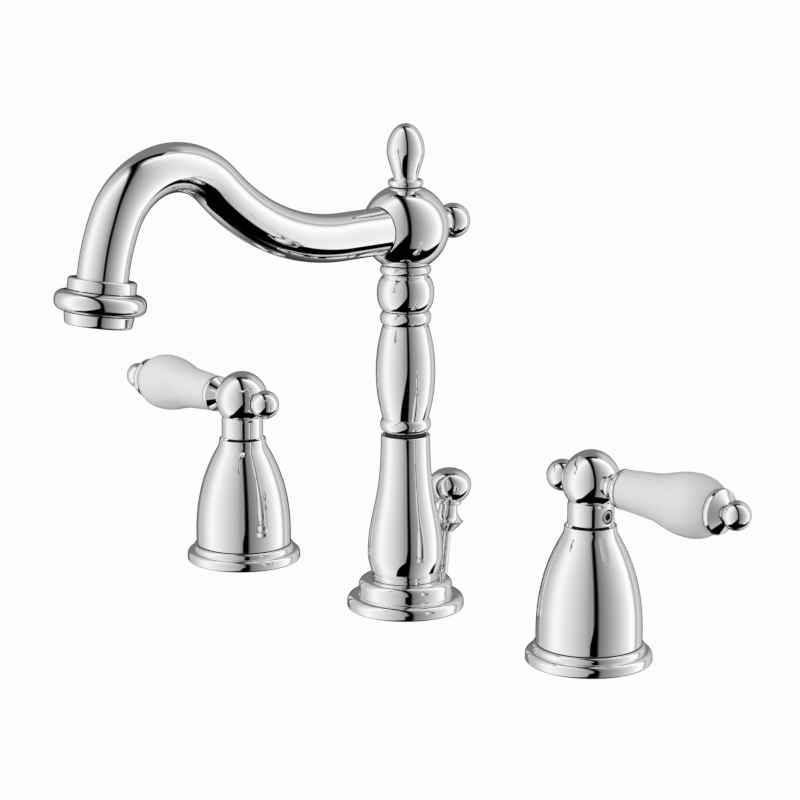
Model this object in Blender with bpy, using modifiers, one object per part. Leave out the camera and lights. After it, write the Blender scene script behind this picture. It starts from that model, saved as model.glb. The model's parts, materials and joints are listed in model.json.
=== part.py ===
"""Widespread bathroom faucet: a swan-neck spout between two lever handles with porcelain grips.

Metres, +Z up. The deck's upper face is at z = 0, the spout's column stands on the origin, the handles
stand along X and the spout reaches towards -Y. Each piece is one object, and what moves hangs from an
empty on its axis.
"""

import math

import bmesh
import bpy
from mathutils import Vector

MM = 0.001
MERGE = 0.01 * MM

# Fits and finish of the model
SEAT_GAP = 0.3 * MM
RUNNING_GAP = 0.35 * MM
OVERRUN = 2 * MM
FINE_SEGMENTS = 20
MID_SEGMENTS = 16
COARSE_SEGMENTS = 12
PLAIN_SEGMENTS = 8

# Where the three stations stand, and the deck that they clamp
SPREAD = 203.2 * MM
DECK_THICKNESS = 20 * MM
GASKET_THICKNESS = 1.5 * MM
RUBBER_THICKNESS = 2.5 * MM
WASHER_THICKNESS = 1.5 * MM

# Foot of the spout: a round flange with a smaller tier on it
FOOT_RADIUS = 24.1 * MM
FOOT_HEIGHT = 5.7 * MM
FOOT_ROUND = 1.6 * MM
TIER_RADIUS = 19.3 * MM
TIER_HEIGHT = 7.8 * MM
TIER_ROUND = 2.2 * MM
FOOT_GASKET_INNER = 15.5 * MM
FOOT_GASKET_OUTER = 23 * MM

# Threaded shank under the spout, and its nut and washers
SHANK_RADIUS = 8 * MM
SHANK_BORE = 5 * MM
SHANK_TOP = 48 * MM
SHANK_BELOW_DECK = 22 * MM
SHANK_NUT_RADIUS = 12.2 * MM
SHANK_NUT_HEIGHT = 8 * MM
SHANK_WASHER_RADIUS = 23 * MM

# Lower half of the column, a slender bell
LOWER_TOP = 72.9 * MM
LOWER_TOP_RADIUS = 10.05 * MM
LOWER_BELLY_RADIUS = 15.5 * MM
LOWER_BELLY_HEIGHT = 22.6 * MM
LOWER_HEM_RADIUS = 14.9 * MM
LOWER_HEM_HEIGHT = 16.5 * MM
LOWER_FOOT_RADIUS = 14.3 * MM
LOWER_FOOT_FLARE = 0.7 * MM
EDGE = 0.5 * MM
LOWER_LEAVE_SHARES = (0.0, 0.6)
LOWER_ARRIVE_SHARES = (0.0, 0.36)

# Swivel between the two halves of the column
SPIGOT_RADIUS = 6.2 * MM
SPIGOT_BORE = 3.6 * MM
SPIGOT_BOTTOM = 53 * MM
SPIGOT_LENGTH = 33 * MM
RING_GROOVE_DEPTH = 0.9 * MM
RING_GROOVE_HALF = 1.1 * MM
RING_GROOVE_SHARE = 0.36
SWIVEL_WASHER_RADIUS = 8.6 * MM
SWIVEL_WASHER_THICKNESS = 0.5 * MM

# Upper half of the column: a ring, a baluster and a second ring
UPPER_BORE = 4.2 * MM
RING_CREST = 10.35 * MM
RING_ROOT = 9.6 * MM
LOW_RING_HEIGHT = 5.6 * MM
BALUSTER_NECK_RADIUS = 9.45 * MM
BALUSTER_BELLY_RADIUS = 12.1 * MM
BALUSTER_LENGTH = 37.8 * MM
BALUSTER_BELLY_SHARE = 0.5
BALUSTER_FLAT_SHARES = (0.0, 0.42)
BALUSTER_STEEP_SHARES = (0.57, 0.3)
SEAM_WIDTH = 0.7 * MM
SEAM_DEPTH = 0.5 * MM
MIDDLE_RING_HEIGHT = 5.7 * MM

# Bulb and top ring under the hub
BULB_CREST = 11.7 * MM
BULB_HEIGHT = 13.7 * MM
BULB_SEAM_WIDTH = 0.9 * MM
TOP_RING_HEIGHT = 3.9 * MM

# Hub ball, with the finial over it and the knob behind it
HUB_RADIUS = 17.6 * MM
FINIAL_SEAT_RADIUS = 6.4 * MM
FINIAL_COLLAR_RADIUS = 7.1 * MM
FINIAL_COLLAR_HEIGHT = 2.9 * MM
FINIAL_COLLAR_ROOT = 5.9 * MM
FINIAL_NECK_RADIUS = 4.9 * MM
FINIAL_NECK_HEIGHT = 0.9 * MM
FINIAL_BELLY_RADIUS = 7.6 * MM
FINIAL_BELLY_RISE = 10.1 * MM
FINIAL_TOP_RISE = 11.3 * MM
FINIAL_LEAVE_SHARES = (0.0, 0.5)
FINIAL_ARRIVE_SHARES = (0.45, 0.3)
STUD_RADIUS = 3 * MM
STUD_LENGTH = 7 * MM
KNOB_RADIUS = 7.2 * MM
KNOB_REACH = 26.9 * MM
KNOB_NECK_RADIUS = 4.8 * MM
KNOB_SEAT_REACH = 16.6 * MM

# Spout tube: straight out of the hub, up, over the crown and down to the outlet
TUBE_RADIUS = 9.5 * MM
TUBE_BORE = 7.9 * MM
TUBE_SOCKET_REACH = 8 * MM
TUBE_STRAIGHT_REACH = 35.5 * MM
RISE_BEND_RADIUS = 89 * MM
RISE_BEND_DEGREES = 44.7
RISE_STRAIGHT = 1.5 * MM
CROWN_BEND_RADIUS = 30.3 * MM
CROWN_BEND_DEGREES = 110
FALL_BEND_RADIUS = 75.5 * MM
FALL_BEND_DEGREES = 16
TUBE_INSERT = 3.6 * MM
TUBE_SIDES_SHARE = 5
BORE_SIDES_SHARE = 2

# Outlet: collar, bead, aerator housing and what is in it
COLLAR_RADIUS = 12.7 * MM
COLLAR_HEIGHT = 4.4 * MM
BEAD_RADIUS = 17.1 * MM
BEAD_ROOT = 12.4 * MM
BEAD_HEIGHT = 7.8 * MM
OUTLET_BORE = 7.6 * MM
HOUSING_RADIUS = 13 * MM
HOUSING_MOUTH_RADIUS = 12.3 * MM
HOUSING_HEIGHT = 4.5 * MM
HOUSING_ROUND = 0.9 * MM
HOUSING_BORE = 10.2 * MM
HOUSING_LIP = 1.1 * MM
HOUSING_LIP_HEIGHT = 0.8 * MM
FLAT_WIDTH = 8.7 * MM
FLAT_HEIGHT = 3 * MM
FLAT_DEPTH = 0.9 * MM
AERATOR_WASHER_THICKNESS = 0.9 * MM
AERATOR_WASHER_WIDTH = 1.6 * MM
STREAM_HOLE_RADIUS = 1.6 * MM
STREAM_CIRCLE_RADIUS = 5.6 * MM
STREAM_HOLE_COUNT = 6

# Pop-up lift rod behind the column, leaning back, and its knob
ROD_RADIUS = 2 * MM
ROD_REACH = 21.1 * MM
ROD_FOOT_HEIGHT = 3 * MM
ROD_LEAN_DEGREES = 6.4
ROD_BELOW = 62 * MM
ROD_WASHER_HOLE = 3.2 * MM
LIFT_KNOB_BOTTOM = 24.8 * MM
LIFT_KNOB_TAPER = 4.4 * MM
LIFT_KNOB_FLARE_RADIUS = 6.3 * MM
LIFT_KNOB_NECK_RADIUS = 3.4 * MM
LIFT_KNOB_NECK_HEIGHT = 10.4 * MM
LIFT_KNOB_RING_RADIUS = 5.3 * MM
LIFT_KNOB_RING_HEIGHT = 1.2 * MM
LIFT_KNOB_RADIUS = 8.8 * MM
LIFT_KNOB_CENTRE = 20 * MM
LIFT_KNOB_CAP_RADIUS = 6.4 * MM
LIFT_KNOB_CAP_RISE = 0.6 * MM
LIFT_KNOB_LEAVE_SHARES = (0.1, 0.55)
LIFT_KNOB_ARRIVE_SHARES = (0.6, 0.2)

# Handle station above the deck: base flange and bell. The lever's height sets the heights below it.
HANDLE_AXIS_HEIGHT = 71.3 * MM
BASE_RADIUS = 24.7 * MM
BASE_HEIGHT = 4.7 * MM
BASE_ROUND = 1.5 * MM
BASE_BEAD_RADIUS = 22 * MM
BASE_BEAD_HEIGHT = 2.5 * MM
BASE_BEAD_ROUND = 1.1 * MM
BASE_GASKET_INNER = 16 * MM
BASE_GASKET_OUTER = 22 * MM
HUB_DROP = 17 * MM
BELL_TOP = HANDLE_AXIS_HEIGHT - HUB_DROP
BELL_COLLAR_RADIUS = 10.2 * MM
BELL_COLLAR_HEIGHT = 3.9 * MM
BELL_SHOULDER_RADIUS = 10.8 * MM
BELL_RADIUS = 20.7 * MM
BELL_SKIRT_HEIGHT = 12 * MM
BELL_WALL = 1.8 * MM
BELL_ROOF = 4.2 * MM
BELL_LEAVE_SHARES = (0.64, 0.28)
BELL_ARRIVE_SHARES = (0.0, 0.41)

# Valve under each handle
VALVE_RADIUS = 13 * MM
VALVE_DROP = 20.3 * MM
VALVE_TOP = BELL_TOP - VALVE_DROP
VALVE_SHANK_BELOW_DECK = 22 * MM
VALVE_BODY_RADIUS = 16 * MM
VALVE_BODY_LENGTH = 19 * MM
VALVE_INLET_RADIUS = 10.3 * MM
VALVE_INLET_LENGTH = 19 * MM
VALVE_WATERWAY = 4.6 * MM
OUTLET_STUB_RADIUS = 7.6 * MM
OUTLET_STUB_REACH = 30 * MM
OUTLET_STUB_BORE = 4.1 * MM
CARTRIDGE_RADIUS = 9 * MM
CARTRIDGE_BOTTOM = 5 * MM
CARTRIDGE_BOSS_RADIUS = 6 * MM
CARTRIDGE_BOSS_HEIGHT = 3 * MM
CARTRIDGE_PORT = 3.4 * MM
BONNET_NUT_RADIUS = 12.4 * MM
BONNET_NUT_HEIGHT = 5.6 * MM
BONNET_SLEEVE_RADIUS = 7.4 * MM
BONNET_SINK = 1.9 * MM
BONNET_TOP = BELL_TOP - BONNET_SINK
LOCK_NUT_RADIUS = 20 * MM
LOCK_NUT_HEIGHT = 7 * MM
LOCK_WASHER_RADIUS = 21 * MM

# Handle: hub on the valve's stem, and the lever through the hub
STEM_RADIUS = 4.2 * MM
NECK_RADIUS = 9 * MM
BALL_RADIUS = 11.3 * MM
BALL_CROWN = 12.4 * MM
SCREW_RADIUS = 2.5 * MM
SCREW_DROP = 12.4 * MM
SCREW_HEIGHT = HANDLE_AXIS_HEIGHT - SCREW_DROP
SCREW_LENGTH = 3.9 * MM
SCREW_SOCKET_RADIUS = 1.6 * MM
SCREW_SOCKET_DEPTH = 2 * MM
SCREW_SINK = 0.3 * MM
LEVER_ROD_RADIUS = 2.5 * MM
STEM_WEB = 3.4 * MM
STEM_SOCKET_TOP = HANDLE_AXIS_HEIGHT - LEVER_ROD_RADIUS - STEM_WEB
REAR_BALL_RADIUS = 6.2 * MM
REAR_BALL_REACH = 14.9 * MM
SEAT_REACH = 10.3 * MM
REAR_SEAT_RADIUS = 4.8 * MM
FERRULE_SEAT_RADIUS = 4.7 * MM
FERRULE_NECK_RADIUS = 4.4 * MM
FERRULE_STEP_RADIUS = 5.4 * MM
FERRULE_RIM_RADIUS = 7.8 * MM
FERRULE_NECK_LENGTH = 1.3 * MM
FERRULE_STEP_LENGTH = 1.3 * MM
FERRULE_CONE_LENGTH = 3 * MM
FERRULE_RIM_LENGTH = 2 * MM
GRIP_LENGTH = 42.8 * MM
GRIP_NEAR_RADIUS = 7.7 * MM
GRIP_WAIST_RADIUS = 8.8 * MM
GRIP_WAIST_SHARE = 0.324
GRIP_BELLY_RADIUS = 12.2 * MM
GRIP_BELLY_SHARE = 0.748
GRIP_FAR_RADIUS = 8.3 * MM
GRIP_STRAIGHT_SHARES = (0.34, 0.34)
GRIP_RISE_SHARES = (0.1, 0.3)
GRIP_FLAT_SHARES = (0.0, 0.42)
GRIP_BELLY_SHARES = (0.0, 0.5)
GRIP_ROUND_SHARES = (0.55, 0.2)
CAP_BAND_LENGTH = 2.6 * MM
CAP_BAND_FLARE = 0.5 * MM
CAP_CONE_LENGTH = 2.7 * MM
CAP_NECK_RADIUS = 4.1 * MM
END_BALL_RADIUS = 5.6 * MM

# Heights and reaches that follow from the sizes above
TIER_TOP = FOOT_HEIGHT + TIER_HEIGHT
UPPER_BOTTOM = LOWER_TOP + 2 * SEAT_GAP + SWIVEL_WASHER_THICKNESS
BALUSTER_LOW = UPPER_BOTTOM + EDGE + LOW_RING_HEIGHT
BALUSTER_HIGH = BALUSTER_LOW + BALUSTER_LENGTH
UPPER_TOP = BALUSTER_HIGH + SEAM_WIDTH + MIDDLE_RING_HEIGHT
BULB_BOTTOM = UPPER_TOP + SEAT_GAP
BULB_TOP = BULB_BOTTOM + BULB_HEIGHT + BULB_SEAM_WIDTH + TOP_RING_HEIGHT
HUB_BOTTOM = BULB_TOP + SEAT_GAP
HUB_CENTRE = HUB_BOTTOM + math.sqrt(HUB_RADIUS**2 - RING_ROOT**2)
HUB_TOP = HUB_CENTRE + math.sqrt(HUB_RADIUS**2 - FINIAL_SEAT_RADIUS**2)
GRIP_START = SEAT_REACH + 2 * SEAT_GAP + (
    FERRULE_NECK_LENGTH + FERRULE_STEP_LENGTH + FERRULE_CONE_LENGTH + FERRULE_RIM_LENGTH
)
GRIP_END = GRIP_START + GRIP_LENGTH
CAP_START = GRIP_END + SEAT_GAP
CAP_NECK_REACH = CAP_START + CAP_BAND_LENGTH + CAP_CONE_LENGTH
END_BALL_REACH = CAP_NECK_REACH + math.sqrt(END_BALL_RADIUS**2 - CAP_NECK_RADIUS**2)
LOWEST_DECK_FACE = -DECK_THICKNESS


# Outlines in (radius, height), listed from the top down the outer side


def arc(centre, radii, start, end, steps):
    """Points of an ellipse's arc, by angle in degrees: 90 is straight up and 0 points outwards."""
    points = []
    for step in range(steps + 1):
        angle = math.radians(start + (end - start) * step / steps)
        points.append((centre[0] + radii[0] * math.cos(angle), centre[1] + radii[1] * math.sin(angle)))
    return points


def bead(root, crest, high, low, steps):
    """A half-round swelling between two heights."""
    return arc((root, (high + low) / 2), (crest - root, (high - low) / 2), 90, -90, steps)


def curve(start, end, leave, arrive, steps):
    """A cubic curve whose handles are shares of the step in radius and in height."""
    across, along = end[0] - start[0], end[1] - start[1]
    first = (start[0] + across * leave[0], start[1] + along * leave[1])
    second = (end[0] - across * arrive[0], end[1] - along * arrive[1])
    points = []
    for step in range(steps + 1):
        t = step / steps
        weights = ((1 - t) ** 3, 3 * t * (1 - t) ** 2, 3 * t**2 * (1 - t), t**3)
        nodes = (start, first, second, end)
        points.append(tuple(sum(w * node[axis] for w, node in zip(weights, nodes)) for axis in (0, 1)))
    return points


# Objects


def clear_scene():
    for thing in list(bpy.data.objects):
        bpy.data.objects.remove(thing)


def new_collection(name):
    made = bpy.data.collections.new(name)
    bpy.context.scene.collection.children.link(made)
    return made


def new_material(name, colour, roughness, metallic):
    made = bpy.data.materials.new(name)
    made.use_nodes = True
    shader = made.node_tree.nodes["Principled BSDF"]
    shader.inputs["Base Color"].default_value = (*colour, 1.0)
    shader.inputs["Roughness"].default_value = roughness
    shader.inputs["Metallic"].default_value = metallic
    made.diffuse_color = (*colour, 1.0)
    return made


clear_scene()
PARTS = new_collection("widespread_faucet")
CUTTERS = new_collection("cutters")
CHROME = ((0.86, 0.87, 0.89), 0.06, 1.0)
BRASS = ((0.78, 0.60, 0.30), 0.3, 1.0)
STEEL = ((0.62, 0.63, 0.65), 0.3, 1.0)
PORCELAIN = ((0.90, 0.90, 0.89), 0.12, 0.0)
RUBBER = ((0.03, 0.03, 0.03), 0.7, 0.0)
NYLON = ((0.85, 0.85, 0.80), 0.45, 0.0)


def pivot(name, location=(0, 0, 0), turn=(0, 0, 0), parent=None):
    """An empty that pieces hang from; turn is in degrees about X, Y and Z."""
    empty = bpy.data.objects.new(name, None)
    empty.location = location
    empty.rotation_euler = [math.radians(angle) for angle in turn]
    empty.parent = parent
    PARTS.objects.link(empty)
    return empty


def place(name, data, finish, parent, at=(0, 0, 0)):
    """Puts a mesh in the model as a piece, or among the cutters where it has no finish."""
    piece = bpy.data.objects.new(name, data)
    piece.location = at
    piece.parent = parent
    if finish:
        data.materials.append(new_material(name, *finish))
        PARTS.objects.link(piece)
    else:
        piece.hide_render = True
        piece.display_type = "WIRE"
        CUTTERS.objects.link(piece)
    return piece


def turned(name, outline, segments, finish, parent=None, at=(0, 0, 0)):
    """A turned piece: its outline, closed unless it starts and ends on the axis, spun about local Z."""
    mesh = bpy.data.meshes.new(name)
    edges = [(i, i + 1) for i in range(len(outline) - 1)]
    if outline[0][0] > 0 or outline[-1][0] > 0:
        edges.append((len(outline) - 1, 0))
    mesh.from_pydata([(radius, 0, height) for radius, height in outline], edges, [])
    piece = place(name, mesh, finish, parent, at)
    spin = piece.modifiers.new("turn", "SCREW")
    spin.steps = segments
    spin.render_steps = segments
    spin.use_merge_vertices = True
    spin.merge_threshold = MERGE
    spin.use_smooth_shade = True
    return piece


def bar(name, radius, start, end, segments, finish=None, parent=None):
    """A round bar between two points, or a six-sided one with six segments. Without a finish it cuts."""
    run = Vector(end) - Vector(start)
    mesh = bpy.data.meshes.new(name)
    solid = bmesh.new()
    bmesh.ops.create_cone(
        solid, cap_ends=True, segments=segments, radius1=radius, radius2=radius, depth=run.length
    )
    solid.to_mesh(mesh)
    solid.free()
    piece = place(name, mesh, finish, parent, (Vector(start) + Vector(end)) / 2)
    piece.rotation_euler = run.to_track_quat("Z", "Y").to_euler()
    return piece


def block(name, size, centre, parent=None):
    """A box that cuts."""
    mesh = bpy.data.meshes.new(name)
    solid = bmesh.new()
    bmesh.ops.create_cube(solid, size=1)
    bmesh.ops.scale(solid, vec=size, verts=solid.verts)
    solid.to_mesh(mesh)
    solid.free()
    return place(name, mesh, None, parent, centre)


def tube(name, points, radius, sides_share, finish=None, parent=None):
    """A round tube along points, made as a bevelled curve and turned into a mesh that can be cut."""
    path = bpy.data.curves.new(name, "CURVE")
    path.dimensions = "3D"
    path.bevel_depth = radius
    path.bevel_resolution = sides_share
    path.use_fill_caps = True
    spline = path.splines.new("POLY")
    spline.points.add(len(points) - 1)
    for target, point in zip(spline.points, points):
        target.co = (*point, 1)
    guide = bpy.data.objects.new(name + "_guide", path)
    CUTTERS.objects.link(guide)
    graph = bpy.context.evaluated_depsgraph_get()
    mesh = bpy.data.meshes.new_from_object(guide.evaluated_get(graph))
    matrix = guide.matrix_world.copy()
    bpy.data.objects.remove(guide)
    solid = bmesh.new()
    solid.from_mesh(mesh)
    bmesh.ops.remove_doubles(solid, verts=solid.verts, dist=MERGE)
    solid.to_mesh(mesh)
    solid.free()
    mesh.shade_smooth()
    piece = place(name, mesh, finish, parent)
    piece.matrix_basis = matrix
    return piece


def joined(piece, other, operation):
    step = piece.modifiers.new(other.name, "BOOLEAN")
    step.operation = operation
    step.solver = "EXACT"
    step.object = other
    return piece


def cut(piece, *cutters):
    for other in cutters:
        joined(piece, other, "DIFFERENCE")
    return piece


def fuse(piece, *others):
    for other in others:
        joined(piece, other, "UNION")
    return piece


def ring(name, inner, outer, high, low, segments, finish, parent=None):
    """A flat washer or a plain sleeve."""
    outline = [(inner, high), (outer, high), (outer, low), (inner, low)]
    return turned(name, outline, segments, finish, parent)


def hex_nut(name, corner_radius, bore, high, low, finish, parent=None):
    nut = bar(name, corner_radius, (0, 0, low), (0, 0, high), 6, finish, parent)
    below, above = (0, 0, low - OVERRUN), (0, 0, high + OVERRUN)
    return cut(nut, bar(name + "_bore", bore, below, above, MID_SEGMENTS, None, parent))


# Spout foot, and what clamps it to the deck


def spout_foot():
    bore = SHANK_RADIUS + SEAT_GAP
    recess = GASKET_THICKNESS + SEAT_GAP
    outline = [(bore, TIER_TOP)]
    outline += arc((TIER_RADIUS - TIER_ROUND, TIER_TOP - TIER_ROUND), (TIER_ROUND, TIER_ROUND), 90, 0, 2)
    outline += [(TIER_RADIUS, FOOT_HEIGHT)]
    outline += arc((FOOT_RADIUS - FOOT_ROUND, FOOT_HEIGHT - FOOT_ROUND), (FOOT_ROUND, FOOT_ROUND), 90, 0, 2)
    outline += [(FOOT_RADIUS, 0)]
    outline += [(FOOT_GASKET_OUTER + SEAT_GAP, 0), (FOOT_GASKET_OUTER + SEAT_GAP, recess)]
    outline += [(FOOT_GASKET_INNER - SEAT_GAP, recess), (FOOT_GASKET_INNER - SEAT_GAP, 0), (bore, 0)]
    foot = turned("spout_base_flange", outline, FINE_SEGMENTS, CHROME)
    gasket = ring(
        "spout_base_gasket", FOOT_GASKET_INNER, FOOT_GASKET_OUTER,
        GASKET_THICKNESS, 0, FINE_SEGMENTS, RUBBER,
    )
    lean = rod_direction()
    foot_point = Vector((0, ROD_REACH, ROD_FOOT_HEIGHT))
    high, low = foot_point + lean * TIER_TOP, foot_point - lean * ROD_BELOW
    rod_hole = bar("rod_hole_cutter", ROD_RADIUS + RUNNING_GAP, low, high, COARSE_SEGMENTS)
    cut(foot, rod_hole)
    cut(gasket, rod_hole)
    rubber_low = LOWEST_DECK_FACE - RUBBER_THICKNESS
    washer_high = rubber_low - SEAT_GAP
    washer_low = washer_high - WASHER_THICKNESS
    rod_way = bar("washer_rod_cutter", ROD_WASHER_HOLE, low, high, COARSE_SEGMENTS)
    outer = SHANK_WASHER_RADIUS
    rubber = ring("shank_rubber_washer", bore, outer, LOWEST_DECK_FACE, rubber_low, MID_SEGMENTS, RUBBER)
    washer = ring("shank_steel_washer", bore, outer, washer_high, washer_low, MID_SEGMENTS, STEEL)
    cut(rubber, rod_way)
    cut(washer, rod_way)
    nut_high = washer_low - SEAT_GAP
    hex_nut("shank_lock_nut", SHANK_NUT_RADIUS, bore, nut_high, nut_high - SHANK_NUT_HEIGHT, BRASS)
    shank_low = LOWEST_DECK_FACE - SHANK_BELOW_DECK
    ring("spout_shank", SHANK_BORE, SHANK_RADIUS, SHANK_TOP, shank_low, COARSE_SEGMENTS, BRASS)


def rod_direction():
    lean = math.radians(ROD_LEAN_DEGREES)
    return Vector((0, math.sin(lean), math.cos(lean)))


def lower_column():
    bottom = TIER_TOP + SEAT_GAP
    shank_bore = SHANK_RADIUS + SEAT_GAP
    swivel_bore = SPIGOT_RADIUS + RUNNING_GAP
    outline = [(swivel_bore, LOWER_TOP), (LOWER_TOP_RADIUS - EDGE, LOWER_TOP)]
    neck = (LOWER_TOP_RADIUS, LOWER_TOP - EDGE)
    belly = (LOWER_BELLY_RADIUS, LOWER_BELLY_HEIGHT)
    outline += curve(neck, belly, LOWER_LEAVE_SHARES, LOWER_ARRIVE_SHARES, 6)
    hem = (LOWER_BELLY_RADIUS - LOWER_HEM_RADIUS, LOWER_BELLY_HEIGHT - LOWER_HEM_HEIGHT)
    outline += arc((LOWER_HEM_RADIUS, LOWER_BELLY_HEIGHT), hem, 0, -90, 2)[1:]
    outline += [(LOWER_FOOT_RADIUS, LOWER_HEM_HEIGHT - EDGE)]
    outline += [(LOWER_FOOT_RADIUS, bottom + LOWER_FOOT_FLARE)]
    outline += [(LOWER_FOOT_RADIUS + LOWER_FOOT_FLARE, bottom)]
    shank_clear = SHANK_TOP + SEAT_GAP
    outline += [(shank_bore, bottom), (shank_bore, shank_clear), (swivel_bore, shank_clear)]
    turned("spout_lower_body", outline, FINE_SEGMENTS, CHROME)
    washer_low = LOWER_TOP + SEAT_GAP
    ring(
        "swivel_washer", SPIGOT_RADIUS + SEAT_GAP, SWIVEL_WASHER_RADIUS,
        washer_low + SWIVEL_WASHER_THICKNESS, washer_low, COARSE_SEGMENTS, RUBBER,
    )


# Swivelling half: spigot, upper column, bulb, hub, finial and rear knob


def spigot(axis):
    top = SPIGOT_BOTTOM + SPIGOT_LENGTH
    groove = SPIGOT_BOTTOM + SPIGOT_LENGTH * RING_GROOVE_SHARE
    root = SPIGOT_RADIUS - RING_GROOVE_DEPTH
    outline = [
        (SPIGOT_BORE, top), (SPIGOT_RADIUS, top),
        (SPIGOT_RADIUS, groove + RING_GROOVE_HALF), (root, groove + RING_GROOVE_HALF),
        (root, groove - RING_GROOVE_HALF), (SPIGOT_RADIUS, groove - RING_GROOVE_HALF),
        (SPIGOT_RADIUS, SPIGOT_BOTTOM), (SPIGOT_BORE, SPIGOT_BOTTOM),
    ]
    turned("swivel_spigot", outline, COARSE_SEGMENTS, BRASS, axis)
    width = SPIGOT_RADIUS - root - SEAT_GAP
    radii = (width / 2, RING_GROOVE_HALF - SEAT_GAP)
    outline = arc((SPIGOT_RADIUS - width / 2, groove), radii, 90, -270, 6)[:-1]
    turned("swivel_o_ring", outline, COARSE_SEGMENTS, RUBBER, axis)


def upper_column(axis):
    socket = SPIGOT_RADIUS + SEAT_GAP
    socket_top = SPIGOT_BOTTOM + SPIGOT_LENGTH + SEAT_GAP
    belly = (BALUSTER_BELLY_RADIUS, BALUSTER_LOW + BALUSTER_LENGTH * BALUSTER_BELLY_SHARE)
    seam_root = BALUSTER_NECK_RADIUS - SEAM_DEPTH
    outline = [(UPPER_BORE, UPPER_TOP)]
    outline += bead(RING_ROOT, RING_CREST, UPPER_TOP, BALUSTER_HIGH + SEAM_WIDTH, 4)
    outline += [(seam_root, BALUSTER_HIGH + SEAM_WIDTH), (seam_root, BALUSTER_HIGH)]
    high_neck = (BALUSTER_NECK_RADIUS, BALUSTER_HIGH)
    outline += curve(high_neck, belly, BALUSTER_STEEP_SHARES, BALUSTER_FLAT_SHARES, 4)
    low_neck = (BALUSTER_NECK_RADIUS, BALUSTER_LOW)
    outline += curve(belly, low_neck, BALUSTER_FLAT_SHARES, BALUSTER_STEEP_SHARES, 4)[1:]
    outline += bead(RING_ROOT, RING_CREST, BALUSTER_LOW, UPPER_BOTTOM + EDGE, 4)
    outline += [(RING_ROOT - EDGE, UPPER_BOTTOM), (socket, UPPER_BOTTOM)]
    outline += [(socket, socket_top), (UPPER_BORE, socket_top)]
    turned("upper_column", outline, MID_SEGMENTS, CHROME, axis)


def column_bulb(axis):
    ring_low = BULB_TOP - TOP_RING_HEIGHT
    outline = [(UPPER_BORE, BULB_TOP)]
    outline += bead(RING_ROOT, RING_CREST, BULB_TOP, ring_low, 4)
    outline += bead(RING_ROOT, BULB_CREST, ring_low - BULB_SEAM_WIDTH, BULB_BOTTOM, 5)
    outline += [(UPPER_BORE, BULB_BOTTOM)]
    turned("column_bulb", outline, MID_SEGMENTS, CHROME, axis)


def spout_hub(axis):
    low = -math.degrees(math.acos(RING_ROOT / HUB_RADIUS))
    high = math.degrees(math.acos(FINIAL_SEAT_RADIUS / HUB_RADIUS))
    outline = [(0, HUB_TOP)] + arc((0, HUB_CENTRE), (HUB_RADIUS, HUB_RADIUS), high, low, 8)
    outline += [(UPPER_BORE, HUB_BOTTOM), (UPPER_BORE, HUB_CENTRE), (0, HUB_CENTRE)]
    hub = turned("spout_hub", outline, FINE_SEGMENTS, CHROME, axis)
    centre = Vector((0, 0, HUB_CENTRE))
    forward, up = Vector((0, -1, 0)), Vector((0, 0, 1))
    outside = HUB_RADIUS + OVERRUN
    socket = centre + forward * TUBE_SOCKET_REACH
    mouth, behind, above = centre + forward * outside, centre - forward * outside, centre + up * outside
    stud_hole = STUD_RADIUS + SEAT_GAP
    knob_hole = KNOB_NECK_RADIUS + SEAT_GAP
    stud_low = HUB_TOP - STUD_LENGTH - SEAT_GAP
    knob_seat = centre - forward * KNOB_SEAT_REACH
    knob_low = centre - forward * (KNOB_SEAT_REACH - STUD_LENGTH - SEAT_GAP)
    cut(
        hub,
        bar("tube_socket_cutter", TUBE_RADIUS + SEAT_GAP, socket, mouth, FINE_SEGMENTS, None, axis),
        bar("hub_way_cutter", UPPER_BORE, centre + up * UPPER_BORE / 2, mouth, COARSE_SEGMENTS, None, axis),
        bar("finial_hole_cutter", stud_hole, (0, 0, stud_low), above, COARSE_SEGMENTS, None, axis),
        bar("knob_seat_cutter", knob_hole, knob_seat, behind, MID_SEGMENTS, None, axis),
        bar("knob_hole_cutter", stud_hole, knob_low, behind, COARSE_SEGMENTS, None, axis),
    )


def hub_finial(axis):
    bottom = HUB_TOP + SEAT_GAP
    neck = bottom + FINIAL_COLLAR_HEIGHT + FINIAL_NECK_HEIGHT
    belly = neck + FINIAL_BELLY_RISE
    outline = arc((0, belly), (FINIAL_BELLY_RADIUS, FINIAL_TOP_RISE), 90, 0, 4)
    start, end = (FINIAL_BELLY_RADIUS, belly), (FINIAL_NECK_RADIUS, neck)
    outline += curve(start, end, FINIAL_LEAVE_SHARES, FINIAL_ARRIVE_SHARES, 4)[1:]
    outline += bead(FINIAL_COLLAR_ROOT, FINIAL_COLLAR_RADIUS, bottom + FINIAL_COLLAR_HEIGHT, bottom, 3)
    outline += [(STUD_RADIUS, bottom), (STUD_RADIUS, HUB_TOP - STUD_LENGTH), (0, HUB_TOP - STUD_LENGTH)]
    outline[0] = (0, outline[0][1])
    turned("hub_finial", outline, COARSE_SEGMENTS, CHROME, axis)


def rear_knob(axis):
    frame = pivot("rear_knob_axis", (0, 0, HUB_CENTRE), (-90, 0, 0), axis)
    neck_start = KNOB_SEAT_REACH + SEAT_GAP
    stud_end = KNOB_SEAT_REACH - STUD_LENGTH
    low = -math.degrees(math.acos(KNOB_NECK_RADIUS / KNOB_RADIUS))
    outline = arc((0, KNOB_REACH), (KNOB_RADIUS, KNOB_RADIUS), 90, low, 5)
    outline += [(KNOB_NECK_RADIUS, neck_start), (STUD_RADIUS, neck_start)]
    outline += [(STUD_RADIUS, stud_end), (0, stud_end)]
    outline[0] = (0, outline[0][1])
    turned("rear_knob", outline, COARSE_SEGMENTS, CHROME, frame)


# Spout tube and outlet


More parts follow.
